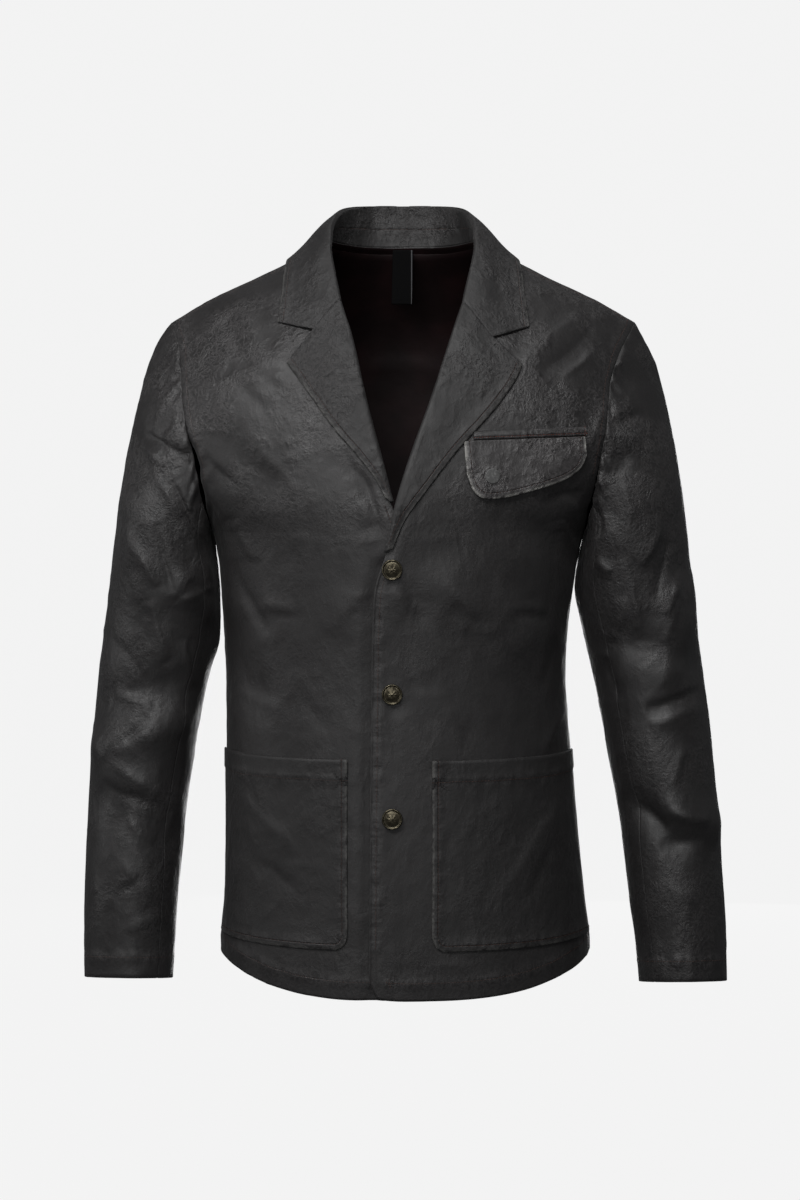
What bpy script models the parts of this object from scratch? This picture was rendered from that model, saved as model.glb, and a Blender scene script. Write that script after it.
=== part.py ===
"""A man's single-breasted blazer, filled out as if worn, as thin walls of cloth.

Sizes are in millimetres and become metres when a mesh is made. The origin is midway between the
two neck points of the shoulder seams. +X is the wearer's left, -Y the front and +Z up.
Each cut piece is one wall: a grid of points on its outside, and the same grid moved in.
"""

import math
from bisect import bisect_right
from collections import namedtuple

import bpy
from mathutils import Vector
from mathutils.bvhtree import BVHTree

MM = 0.001
RIGHT, LEFT = -1, 1  # the wearer's sides, as signs of X
SIDES = {RIGHT: "right", LEFT: "left"}
FRONT, BACK = -1, 1  # the faces, as signs of Y

# ---------------------------------------------------------------- driving sizes
CLOTH = 1.5  # coated cotton with its backing
FOLDED = 2.0  # two layers pressed together: lapels, collar, flap
LINING = 1.0
SEAM_GAP = 0.3
LAID_GAP = 0.45  # between a piece and the one that it lies on
HEM_Z = -735.0  # centre front hem, below the neck points
UNDERARM_Z = -289.0
TIP_Z = -81.0  # shoulder tip, where shoulder seam and sleeve meet
CUFF_Z = -729.0
TIP_X = 230.5
NECK_X = 74.5  # neck point of the shoulder seam
SQUARE = 2.3  # exponent of the torso's sections: 2 is an ellipse
ROUND = {FRONT: 120.0, BACK: 135.0}  # how far below the shoulder line the body reaches full depth
HEM_RISE = 29.0  # the side seams are this much shorter than the centre front
HEM_CORNER = 25.0  # radius of the front edge's lower corner
OVERLAP_LIFT = 5.5  # the left front lies this far over the right one
ROLL_RADIUS = 3.4  # of the folded edge of collar and lapels
REST = 1.0  # clear height of a lapel's or the collar's free edge over the body

Section = namedtuple("Section", "z right left front back mid")
BODY = (  # half widths on each side of x = 0, depths before and behind the middle
    Section(-740.5, 182.5, 188.5, 140, 126, 0),
    Section(-699.5, 183.5, 187.5, 139, 126, 0),
    Section(-659, 179, 182.5, 137, 125, 0),
    Section(-598.5, 177.5, 176, 134, 121, 0),
    Section(-527.5, 177, 170, 130, 115, 0),
    Section(-467, 177, 165, 127, 110, 0),
    Section(-427, 178, 163, 126, 109, 0),
    Section(-387, 179.5, 165, 127, 112, 0),
    Section(-337, 182.5, 171, 130, 118, 1),
    Section(-307, 186, 176.5, 131, 121, 1.5),
    Section(-289, 189.5, 180.5, 132, 123, 2),
    Section(-267, 204.5, 194.5, 132, 125, 2.5),
    Section(-227.5, 231.5, 221.5, 128, 127, 3),
    Section(-184.5, 245, 235, 120, 127, 4),
    Section(-150, 242, 235, 111, 125, 5),
    Section(-113.5, 238.5, 234.5, 99, 119, 6),
    Section(-80, 236.5, 234.5, 86, 109, 7),
    Section(-39.5, 236, 234, 71, 94, 8),
    Section(10, 236, 234, 60, 80, 8),
)

Ridge = namedtuple("Ridge", "x z")
SHOULDER = (  # the top line of the body, out from the neck
    Ridge(0, 33.5), Ridge(39.5, 18.5), Ridge(74.5, 0), Ridge(112, -20.5),
    Ridge(149, -38.5), Ridge(188.5, -57), Ridge(230.5, -81),
)

Opening = namedtuple("Opening", "z front_right front_left back_right back_left")
ARMHOLE = (  # distance of the armhole seam from x = 0
    Opening(-81, 230.5, 230.5, 230.5, 230.5),
    Opening(-98.5, 223.5, 221, 224.5, 222.5),
    Opening(-114.5, 219.5, 212.5, 219.5, 215),
    Opening(-150, 217, 202.5, 212, 203),
    Opening(-184.5, 212, 197.5, 206, 197),
    Opening(-212.5, 203.5, 192.5, 202.5, 192.5),
    Opening(-242.5, 196.5, 186.5, 197.5, 187.5),
    Opening(-267, 191.5, 182, 192.5, 183.5),
    Opening(-289, 189.5, 180.5, 189.5, 180.5),
)

Edge = namedtuple("Edge", "z right left")
FRONT_EDGE = (  # inner edge of each front: button edge, then roll line, then neck seam
    Edge(-740.5, -12, -32.5), Edge(-639, -12, -32), Edge(-558, -12, -31.5),
    Edge(-477.5, -12, -30.5), Edge(-397, -12, -29.5), Edge(-347, -12, -27.5),
    Edge(-327, -12, -23.5), Edge(-302, -5.5, -15), Edge(-282, 2, -9.5),
    Edge(-259, 11, -4.5), Edge(-212.5, 24, 10), Edge(-155, 39.5, 31),
    Edge(-99.5, 52, 49), Edge(-67, 62.5, 60), Edge(-46.5, 69, 68.5),
    Edge(-19.5, 75, 75), Edge(0, 74.5, 74.5),
)

Ring = namedtuple("Ring", "z z_in out_right out_left in_right in_left mid deep pitch")
SLEEVE = (  # outer line down the sleeve, its inner line, then middle, half depth, front raised
    Ring(-81, -289, 230.5, 230.5, 189.5, 180.5, 3, 74, 0),
    Ring(-96.5, -294, 241.5, 239, 189.3, 180.4, 3, 77, 0),
    Ring(-114.5, -300, 250.5, 249, 188.4, 179.2, 3, 79, 0),
    Ring(-140, -308, 258.5, 257, 187, 177.4, 2, 79.5, 0),
    Ring(-172, -318, 266.5, 264, 185.7, 175.4, 1, 79, 0),
    Ring(-207.5, -330, 274, 270.5, 184.4, 173.2, 0, 77, 0),
    Ring(-249, -346, 281, 277, 183.2, 172, 0, 73, 0),
    Ring(-297, -367, 287.5, 283, 182.3, 175.5, -1, 68, 1),
    Ring(-349, -395, 293.5, 290, 183, 181.5, -3, 63, 1),
    Ring(-402, -427, 300.5, 296, 192, 189, -6, 59.5, 2),
    Ring(-455, -465, 306, 303, 200.5, 197, -11, 57, 3),
    Ring(-507.5, -510.5, 310.5, 308.5, 208, 205, -17, 55, 4),
    Ring(-558, -558, 313.5, 313, 215.5, 214, -24, 52.5, 5),
    Ring(-608.5, -608.5, 315.5, 317, 219.5, 220.5, -31, 49, 6),
    Ring(-654, -654, 316.5, 319.5, 224, 225.5, -37, 46.5, 6.5),
    Ring(-694.5, -694.5, 317, 321, 226.5, 231.5, -42, 44, 7),
    Ring(-729, -730, 316.5, 321.5, 228.5, 234.5, -46, 42.5, 7),
)
SLEEVE_RINGS = 24
SLEEVE_STRETCH = {RIGHT: 1.0, LEFT: 1.006}  # the left sleeve is a little longer as worn
HALF_RING = 12  # columns down each half of the armhole, 15 degrees apart
SLEEVE_SEAMS = (9, 16)  # columns of the front and the back sleeve seam

NeckSeam = namedtuple("NeckSeam", "s x y")
BACK_NECK = (  # seam of the back and the collar, from the centre back to the neck point
    NeckSeam(0.00, 0, 68), NeckSeam(0.15, 28, 64), NeckSeam(0.30, 49.5, 52),
    NeckSeam(0.42, 65.5, 35), NeckSeam(0.55, 74.5, 8),
)
NECK_POINT = 0.55  # where s passes from the back onto the front

Collar = namedtuple("Collar", "s seam_z turn_x turn_y turn_z edge_x edge_z")
COLLAR = (  # from the centre back to the gorge: neck seam, centre of the roll, outer edge
    Collar(0.00, -4, 0, 76, 33.5, 0, -14),
    Collar(0.15, -4, 26, 73, 33.5, 37.5, -14),
    Collar(0.30, -3, 45.5, 61, 32.5, 71.5, -15),
    Collar(0.42, -1, 59.5, 41, 29.5, 96, -16.5),
    Collar(0.55, 0, 67.5, 16, 22.5, 110, -18.5),
    Collar(0.68, -7, 72.5, -8, 8, 115, -29.5),
    Collar(0.80, -24.5, 72.5, -30, -13, 117, -50),
    Collar(0.90, -44.5, 67, -49, -39.5, 119, -69),
    Collar(1.00, -65, 61.5, -64, -65, 121, -84.5),
)

Gorge = namedtuple("Gorge", "seam_z notch_x notch_z corner_x corner_z")
GORGE = {  # inner end of the seam between collar and lapel, notch, corner of the collar
    RIGHT: Gorge(-65, 86, -91, 121, -83),
    LEFT: Gorge(-67, 85.5, -98.5, 122, -87.5),
}

Lapel = namedtuple("Lapel", "t roll_z edge_x edge_z")
LAPEL = {  # rows from the break up to the gorge: height on the roll line, then the outer edge
    RIGHT: (
        Lapel(0.00, -255, 17, -251), Lapel(0.12, -239.5, 25, -235.5), Lapel(0.30, -208.5, 43, -211.5),
        Lapel(0.50, -162, 65.5, -185.5), Lapel(0.75, -109.5, 90.5, -151), Lapel(0.90, -84.5, 105.5, -130),
        Lapel(1.00, -65, 111.5, -122.5),
    ),
    LEFT: (
        Lapel(0.00, -302, -10, -299), Lapel(0.12, -274, 0.5, -274), Lapel(0.30, -234.5, 24, -241.5),
        Lapel(0.50, -186.5, 52, -205.5), Lapel(0.75, -128, 83.5, -171), Lapel(0.90, -93.5, 107.5, -139),
        Lapel(1.00, -67, 114, -124.5),
    ),
}
LAPEL_STEPS = 13
NOTCH = 0.47  # share of the lapel's and the collar's width at which they part

Pocket = namedtuple("Pocket", "inner top bottom")
POCKET = {RIGHT: Pocket(54, -503.5, -685.5), LEFT: Pocket(28.5, -504.5, -686.5)}
POCKET_CORNER = 13.0
CORNER_STEPS = (0.0, 0.3, 1.0)  # columns across a pocket's rounded corner, as shares of it
POCKET_BAND = 20.0  # depth of the turned top
POCKET_SIDE_GAP = 2.0  # the outer edge stops this far before the side seam
BAND_EXTRA = 1.0  # the turned top is this much thicker

Cut = namedtuple("Cut", "top_x foot_x foot_z")
FLAP = (  # slanting chest flap, column by column from the front edge to the armhole
    Cut(58.5, 61, -228.5), Cut(62, 66.5, -243.5), Cut(68.5, 76.5, -251.5), Cut(84.5, 91, -251.5),
    Cut(104.5, 107.5, -248.5), Cut(122.5, 124, -244), Cut(138.5, 139, -239.5), Cut(151.5, 152.5, -234.5),
    Cut(162.5, 162.5, -229), Cut(170.5, 170.5, -221), Cut(175, 175, -211.5),
)
Line = namedtuple("Line", "x0 z0 x1 z1")
FLAP_TOP = Line(58.5, -198, 175, -194)
WELT_TOP = Line(68, -188.5, 176.5, -184.5)
WELT_DEPTH = 7.5
FLAP_STANDS_OFF = 2.6  # how far the flap's lower edge stands off the chest

BUTTON_X = -10.5
BUTTON_Z = (-319.5, -439.5, -559.0)
BUTTON = 10.0  # radius
SNAP = 7.0  # radius
SNAP_X, SNAP_Z = 85.5, -230.5
LABEL_WIDTH, LABEL_DROP = 20.0, 54.0

Fold = namedtuple("Fold", "face x0 z0 x1 z1 width height")
FOLDS = (  # soft ridges (+) and troughs (-), as seen on one face, from one end to the other
    Fold(FRONT, -266, -203, -205, -310, 17, -6),
    Fold(FRONT, -262, -262, -250, -345, 20, 6),
    Fold(FRONT, -218, -222, -196, -268, 15, -5),
    Fold(FRONT, -215, -340, -190, -362, 16, 4),
    Fold(FRONT, -300, -455, -235, -440, 20, -6),
    Fold(FRONT, -300, -500, -225, -475, 17, 5),
    Fold(FRONT, -305, -550, -230, -590, 20, -4),
    Fold(FRONT, 210, -140, 250, -130, 16, -4),
    Fold(FRONT, 200, -265, 212, -215, 17, -6),
    Fold(FRONT, 268, -210, 282, -300, 20, 4),
    Fold(FRONT, 285, -345, 262, -420, 20, 6),
    Fold(FRONT, 215, -390, 300, -420, 20, -5),
    Fold(FRONT, 235, -555, 265, -585, 17, -6),
    Fold(FRONT, 265, -560, 308, -575, 18, 6),
    Fold(FRONT, -192, -185, -130, -235, 20, -4),
    Fold(FRONT, -175, -390, -150, -440, 24, -5),
    Fold(FRONT, 140, -225, 192, -195, 18, 3),
    Fold(FRONT, 45, -330, 110, -385, 24, 4),
    Fold(FRONT, 100, -275, 165, -300, 22, -4),
    Fold(BACK, -266, -200, -215, -290, 18, -6),
    Fold(BACK, 266, -200, 215, -290, 18, -6),
    Fold(BACK, -300, -470, -225, -490, 22, -5),
    Fold(BACK, 300, -470, 225, -490, 22, -5),
    Fold(BACK, -192, -230, -110, -195, 24, -5),
    Fold(BACK, 185, -230, 110, -195, 24, -5),
    Fold(BACK, -140, -425, 140, -432, 34, -4),
)


# ---------------------------------------------------------------- curves and the torso's form
def through(rows, key, value):
    """A smooth function through one column of a table, with no overshoot."""
    knots = sorted((getattr(row, key), getattr(row, value)) for row in rows)
    keys = [knot[0] for knot in knots]
    steps = [(b[1] - a[1]) / (b[0] - a[0]) for a, b in zip(knots, knots[1:])]
    slopes = [steps[0]]
    for before, after in zip(steps, steps[1:]):
        same_way = before * after > 0
        slopes.append(2 * before * after / (before + after) if same_way else 0.0)
    slopes.append(steps[-1])

    def at(place):
        place = min(max(place, keys[0]), keys[-1])
        i = min(bisect_right(keys, place) - 1, len(steps) - 1)
        span = keys[i + 1] - keys[i]
        t = (place - keys[i]) / span
        rise = (knots[i + 1][1] - knots[i][1]) * t * t * (3 - 2 * t)
        start = span * slopes[i] * t * (1 - t) ** 2
        end = span * slopes[i + 1] * t * t * (t - 1)
        return knots[i][1] + rise + start + end

    return at


def mix(a, b, t):
    return a + (b - a) * t


def ease(t):
    """0 to 1 with flat ends."""
    t = min(max(t, 0.0), 1.0)
    return t * t * (3 - 2 * t)


half_width = {side: through(BODY, "z", name) for side, name in SIDES.items()}
body_depth = {FRONT: through(BODY, "z", "front"), BACK: through(BODY, "z", "back")}
body_middle = through(BODY, "z", "mid")
shoulder_height = through(SHOULDER, "x", "z")
front_edge = {side: through(FRONT_EDGE, "z", name) for side, name in SIDES.items()}
armhole_x = {
    (face, side): through(ARMHOLE, "z", face_name + "_" + name)
    for face, face_name in ((FRONT, "front"), (BACK, "back"))
    for side, name in SIDES.items()
}


def torso_y(x, z, face):
    """The torso's surface at x and z: superellipse sections that close along the shoulder line."""
    side = LEFT if x >= 0 else RIGHT
    share = min(abs(x) / half_width[side](z), 1.0)
    across = (1 - share**SQUARE) ** (1 / SQUARE)
    below = min(max((shoulder_height(abs(x)) - z) / ROUND[face], 0.0), 1.0)
    over = math.sqrt(1 - (1 - below) ** 2)
    return body_middle(z) + face * body_depth[face](z) * across * over


def turn_at(x, z):
    """The angle round a section at which the torso reaches x, from 0 in the middle to 90 degrees."""
    side = LEFT if x >= 0 else RIGHT
    share = min(abs(x) / half_width[side](z), 1.0)
    return math.copysign(math.asin(share ** (SQUARE / 2)), x)


def x_at(turn, z):
    side = LEFT if turn >= 0 else RIGHT
    return side * half_width[side](z) * abs(math.sin(turn)) ** (2 / SQUARE)


def overlap_lift(side, x, z):
    """How far the left front stands off the right one that it covers."""
    if side == RIGHT:
        return 0.0
    return OVERLAP_LIFT * ease((48 - x) / 36) * ease((-195 - z) / 55)


def body_point(side, x, z, lift):
    """A point of the chest at x and z, moved out along the body's normal, and that normal."""
    step = 2.0
    y = torso_y(x, z, FRONT)
    slope_x = (torso_y(x + step, z, FRONT) - torso_y(x - step, z, FRONT)) / (2 * step)
    slope_z = (torso_y(x, z + step, FRONT) - torso_y(x, z - step, FRONT)) / (2 * step)
    normal = Vector((slope_x, -1, slope_z)).normalized()
    return Vector((x, y - overlap_lift(side, x, z), z)) + normal * lift, normal


# ---------------------------------------------------------------- the shell's pieces as grids
LOW_ROWS = (HEM_Z, -717, -700, -680, -650, -615, -580, -545, -510, -475,
            -440, -405, -370, -337, -308, UNDERARM_Z)
SIDE_ROW = len(LOW_ROWS) - 1  # the row at the underarm
EDGE_STEPS = (0, 5, 16)  # columns this far in from a front's inner edge
MORE_COLUMNS = 7
NECK_COLUMNS = 4  # of the back, on each side of the centre


def armhole_heights():
    """Heights of the armhole's points from the underarm up to the shoulder tip."""
    middle, reach = (TIP_Z + UNDERARM_Z) / 2, (TIP_Z - UNDERARM_Z) / 2
    return [middle - reach * math.cos(math.pi * k / HALF_RING) for k in range(HALF_RING + 1)]


def hem_lift(share, z):
    """How far the hem curves up towards the side seam, fading out above it."""
    return HEM_RISE * share**3.2 * ease(1 - (z - HEM_Z) / 52)


def corner_lift(inward, z):
    """The rounded lower corner of a front edge, fading out above it."""
    reach = max(1 - inward / HEM_CORNER, 0.0)
    return HEM_CORNER * (1 - math.sqrt(1 - reach**2)) * ease(1 - (z - HEM_Z) / 75)


def front_places(side, inner_z, outer_x, outer_z):
    """Distances from x = 0 of a front's columns on one row."""
    inner_x = front_edge[side](inner_z)
    places = [inner_x + step for step in EDGE_STEPS]
    first, last = turn_at(side * places[-1], inner_z), turn_at(side * outer_x, outer_z)
    for i in range(1, MORE_COLUMNS):
        share = i / MORE_COLUMNS
        places.append(side * x_at(mix(first, last, share), mix(inner_z, outer_z, share)))
    return places + [outer_x]


def front_grid(side):
    """One front, from its button edge, roll line or neck seam out to the side seam and armhole."""
    arm = armhole_heights()
    rows = []
    for row in range(SIDE_ROW + HALF_RING + 1):
        above = max(row - SIDE_ROW, 0)
        low = LOW_ROWS[min(row, SIDE_ROW)]
        inner_z = mix(low, 0.0, above / HALF_RING)
        outer_z = arm[above] if above else low
        outer_x = armhole_x[FRONT, side](outer_z) if above else half_width[side](outer_z)
        places = front_places(side, inner_z, outer_x, outer_z)
        line = []
        for place in places:
            along = (place - places[0]) / (outer_x - places[0])
            z = mix(inner_z, outer_z, along)
            if above == 0:
                z += hem_lift(max(place, 0.0) / outer_x, low) + corner_lift(place - places[0], low)
            else:
                straight = mix(0.0, TIP_Z, (place - NECK_X) / (TIP_X - NECK_X))
                sag = shoulder_height(max(place, 0.0)) - straight
                z += sag * (above / HALF_RING) ** 2 * ease(along * 8)
            point, _ = body_point(side, side * place, z, 0.0)
            if above == HALF_RING:
                z = shoulder_height(place)
                point = Vector((side * place, body_middle(z), z))
            line.append(point)
        rows.append(line)
    return rows


def back_grid():
    """The back in one piece, between the side seams, armholes, shoulder seams and neck seam."""
    arm = armhole_heights()
    shoulder = {side: front_places(side, 0.0, TIP_X, TIP_Z) for side in SIDES}
    last = NECK_COLUMNS + len(shoulder[RIGHT]) - 1
    rows = []
    for row in range(SIDE_ROW + HALF_RING + 1):
        above = max(row - SIDE_ROW, 0)
        low = LOW_ROWS[min(row, SIDE_ROW)]
        share = above / HALF_RING
        line = []
        for column in range(-last, last + 1):
            side = LEFT if column >= 0 else RIGHT
            i = abs(column)
            outer_z = arm[above] if above else low
            outer_x = armhole_x[BACK, side](outer_z) if above else half_width[side](outer_z)
            low_x = side * x_at(turn_at(side * outer_x, outer_z) * i / last, outer_z)
            if i <= NECK_COLUMNS:
                s = NECK_POINT * i / NECK_COLUMNS
                top = (back_neck["x"](s), back_neck["y"](s), collar_at["seam_z"](s))
            else:
                x = shoulder[side][i - NECK_COLUMNS]
                top = (x, body_middle(shoulder_height(x)), shoulder_height(x))
            place = outer_x * mix(low_x / outer_x, top[0] / TIP_X, share**1.5)
            z = mix(mix(low, -4.0, share), outer_z, (place / outer_x) ** 2)
            z += hem_lift(place / outer_x, low) if above == 0 else 0.0
            z += (top[2] - mix(-4.0, TIP_Z, (place / TIP_X) ** 2)) * share**2
            y = torso_y(side * place, z, BACK)
            if i <= NECK_COLUMNS:
                y += (top[1] - torso_y(side * top[0], top[2], BACK)) * ease((share - 0.6) / 0.4)
            if above == HALF_RING:
                place, y, z = top
            line.append(Vector((side * place, y, z)))
        rows.append(line)
    return rows


def sleeve_rings(side, front, back):
    """Rings of the sleeve. The first is the armhole, taken from the two body pieces."""
    down = [front[SIDE_ROW + k][-1] for k in range(HALF_RING, -1, -1)]
    column = -1 if side == LEFT else 0
    up = [back[SIDE_ROW + k][column] for k in range(1, HALF_RING)]
    name = SIDES[side]
    keys = ("z_in", "out_" + name, "in_" + name, "mid", "deep", "pitch")
    curves = [through(SLEEVE, "z", key) for key in keys]

    def ring_point(z_out, angle):
        z_in, out, inside, mid, deep, pitch = [curve(z_out) for curve in curves]
        c, s = math.cos(angle), math.sin(angle)
        x = mix(inside, out, (1 + c) / 2)
        z = mix(z_in, z_out, (1 + c) / 2) + pitch * s
        z = TIP_Z + (z - TIP_Z) * SLEEVE_STRETCH[side]
        return Vector((side * x, mid - deep * s, z))

    rings = [down + up]
    for number in range(1, SLEEVE_RINGS):
        z_out = mix(TIP_Z, CUFF_Z, (number / (SLEEVE_RINGS - 1)) ** 1.15)
        fade = 1 - ease((TIP_Z - z_out) / 170)
        line = []
        for k, seam_point in enumerate(down + up):
            angle = math.pi * k / HALF_RING
            line.append(ring_point(z_out, angle) + (seam_point - ring_point(TIP_Z, angle)) * fade)
        rings.append(line)
    return rings


def columns_of(rings, first, last):
    """Columns first to last of closed rings, going on past the end of the ring."""
    return [[ring[k % len(ring)] for k in range(first, last + 1)] for ring in rings]


# ---------------------------------------------------------------- normals, folds and walls
def grid_normals(rows, inside):
    """Normals of a grid, pointing away from the place that inside() gives for its middle point."""
    height, width = len(rows), len(rows[0])
    normals = []
    for j in range(height):
        line = []
        for i in range(width):
            along = rows[j][min(i + 1, width - 1)] - rows[j][max(i - 1, 0)]
            up = rows[min(j + 1, height - 1)][i] - rows[max(j - 1, 0)][i]
            line.append(along.cross(up).normalized())
        normals.append(line)
    j, i = height // 2, width // 2
    if normals[j][i].dot(rows[j][i] - inside(rows[j][i])) < 0:
        normals = [[-normal for normal in line] for line in normals]
    return normals


def spot(point):
    return tuple(round(value, 2) for value in point)


def shared_normals(grids, insides):
    """Each piece's own normals, and the same ones made equal where two pieces meet at a seam."""
    own = {name: grid_normals(rows, insides[name]) for name, rows in grids.items()}
    surfaces = {}
    for name, rows in grids.items():
        for points, normals in zip(rows, own[name]):
            for point, normal in zip(points, normals):
                meeting = surfaces.setdefault(spot(point), [])
                same = [other for other in meeting if other.normalized().dot(normal) > 0.85]
                if same:
                    same[0] += normal
                else:
                    meeting.append(normal.copy())
    mitres = {
        place: sum((normal.normalized() for normal in meeting), Vector()).normalized()
        for place, meeting in surfaces.items()
    }
    shared = {
        name: [[mitres[spot(point)] for point in points] for points in rows]
        for name, rows in grids.items()
    }
    return own, shared


def fold_height(point, normal):
    """How far the folds move a point out, by its distance from each fold's line."""
    total = 0.0
    for fold in FOLDS:
        facing = min(normal.y * fold.face * 2, 1.0)
        if facing <= 0.1:
            continue
        start = Vector((fold.x0, fold.z0))
        run = Vector((fold.x1, fold.z1)) - start
        place = Vector((point.x, point.z)) - start
        t = min(max(place.dot(run) / run.length_squared, 0.0), 1.0)
        away = (place - run * t).length / fold.width
        total += fold.height * math.exp(-away * away) * facing
    return total


def folded(rows, normals):
    return [
        [point + normal * fold_height(point, normal) for point, normal in zip(points, line)]
        for points, line in zip(rows, normals)
    ]


def off_seam(along, inward, normal, mitre):
    """The direction away from the plane in which two pieces meet, at right angles to the seam."""
    across = along.cross(mitre).normalized()
    inward = inward - along * (inward.dot(along) / along.length_squared)
    side = inward.normalized().dot(across)
    if abs(side) < 0.3:
        side = -normal.dot(across)
    return across if side > 0 else -across


def drawn_in(rows, own, shared, amount):
    """The grid with its border moved in, for the gap at a seam."""
    height, width = len(rows), len(rows[0])
    moved = [[point.copy() for point in line] for line in rows]
    for j in range(height):
        for i in range(width):
            point, normal, mitre = rows[j][i], own[j][i], shared[j][i]
            if i in (0, width - 1):
                along = rows[min(j + 1, height - 1)][i] - rows[max(j - 1, 0)][i]
                inward = rows[j][1 if i == 0 else width - 2] - point
                moved[j][i] += off_seam(along, inward, normal, mitre) * amount
            if j in (0, height - 1):
                along = rows[j][min(i + 1, width - 1)] - rows[j][max(i - 1, 0)]
                inward = rows[1 if j == 0 else height - 2][i] - point
                moved[j][i] += off_seam(along, inward, normal, mitre) * amount
    return moved


def moved_in(rows, own, shared, depth):
    """The grid moved in by depth, along the shared normals so that two pieces never cross."""
    return [
        [
            point - mitre * depth / max(normal.dot(mitre), 0.5)
            for point, normal, mitre in zip(points, own_line, shared_line)
        ]
        for points, own_line, shared_line in zip(rows, own, shared)
    ]


def mesh_object(name, points, faces, look):
    mesh = bpy.data.meshes.new(name)
    mesh.from_pydata([point * MM for point in points], [], faces)
    mesh.materials.append(look)
    mesh.shade_smooth()
    mesh.set_sharp_from_angle(angle=math.radians(55))
    made = bpy.data.objects.new(name, mesh)
    bpy.context.scene.collection.objects.link(made)
    return made


def volume(points, faces):
    """Six times the volume inside closed triangles, below zero when they point in."""
    return sum(points[a].dot(points[b].cross(points[c])) for a, b, c in faces)


def grid_triangles(height, width):
    faces = []
    for j in range(height - 1):
        for i in range(width - 1):
            a = j * width + i
            c = a + width + 1
            faces += [(a, a + 1, c), (a, c, c - 1)]
    return faces


EDGE_ORDER = Vector((0.31, 0.57, 0.76))  # direction in which the ends of an edge are put in order


def wall(name, outer, inner, look):
    """A closed wall between two grids of the same size."""
    height, width = len(outer), len(outer[0])
    points = [point for line in outer + inner for point in line]
    back = height * width
    faces = grid_triangles(height, width)
    faces += [(back + c, back + b, back + a) for a, b, c in faces]
    border = list(range(width))
    border += [j * width + width - 1 for j in range(1, height)]
    border += [(height - 1) * width + i for i in range(width - 2, -1, -1)]
    border += [j * width for j in range(height - 2, 0, -1)]
    for a, b in zip(border, border[1:] + border[:1]):
        # Both pieces of a seam split its edge faces along the same diagonal.
        if points[a].dot(EDGE_ORDER) < points[b].dot(EDGE_ORDER):
            faces += [(b, a, back + a), (b, back + a, back + b)]
        else:
            faces += [(b, a, back + b), (a, back + a, back + b)]
    if volume(points, faces) < 0:
        faces = [(c, b, a) for a, b, c in faces]
    return mesh_object(name, points, faces, look)


def cloth(name, rows, own, shared, depth, look, gap=SEAM_GAP / 2):
    outer = drawn_in(rows, own, shared, gap)
    return wall(name, outer, moved_in(outer, own, shared, depth), look)


# ---------------------------------------------------------------- lapels and collar
def lapel_sections(side, front, normals):
    """Rows of the lapel: round the roll from the front's inner edge, then over the chest."""
    table = LAPEL[side]
    roll_z = through(table, "t", "roll_z")
    edge_x, edge_z = through(table, "t", "edge_x"), through(table, "t", "edge_z")
    gorge = GORGE[side]
    heights = [line[0].z for line in front]
    rows = []
    for j in range(LAPEL_STEPS + 1):
        t = j / LAPEL_STEPS
        row = where(heights, roll_z(t))
        base = on_grid(front, row, 0)
        normal = on_grid(normals, row, 0).normalized()
        away = (on_grid(front, row, 1) - base).normalized()
        radius = mix(0.78, 1.0, ease(t * 5)) * ROLL_RADIUS
        centre = base + normal * (radius - CLOTH) - away * (SEAM_GAP + 0.3)
        line = [round_point(centre, away, normal, radius, angle) for angle in (-160, -110, -55, 0)]
        crest = 2 * radius - CLOTH
        end = Vector((side * edge_x(t), edge_z(t)))
        start = Vector((base.x, base.z))
        notch = Vector((side * gorge.notch_x, gorge.notch_z))
        bend = (notch - start.lerp(end, NOTCH)) * ease((t - 0.75) * 4)
        for share in (0.16, 0.31, NOTCH, 0.74, 1.0):
            place = start.lerp(end, share) + bend * max(1 - abs(share / NOTCH - 1), 0.0)
            height = mix(crest, REST + FOLDED, ease(share))
            point, _ = body_point(side, place.x, place.y, height)
            line.append(point)
        rows.append(line)
    return rows


def round_point(centre, away, crest, radius, angle):
    """A point on the roll: angle 0 is its crest and -90 degrees its side towards the neck."""
    turn = math.radians(angle)
    return centre + away * radius * math.sin(turn) + crest * radius * math.cos(turn)


def on_grid(rows, row, column):
    """A point of a grid between its rows and columns."""
    j, i = min(int(row), len(rows) - 2), min(int(column), len(rows[0]) - 2)
    low = rows[j][i].lerp(rows[j][i + 1], column - i)
    high = rows[j + 1][i].lerp(rows[j + 1][i + 1], column - i)
    return low.lerp(high, row - j)


def where(values, value):
    """The fractional index at which a rising list reaches a value."""
    i = min(max(bisect_right(values, value) - 1, 0), len(values) - 2)
    return i + (value - values[i]) / (values[i + 1] - values[i])


back_neck = {axis: through(BACK_NECK, "s", axis) for axis in "xy"}
collar_at = {key: through(COLLAR, "s", key) for key in Collar._fields[1:]}
COLLAR_STEPS = 15  # rows of the collar on each side of the centre back
STAND_END = 0.86  # the stand runs out here, before the gorge


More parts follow.
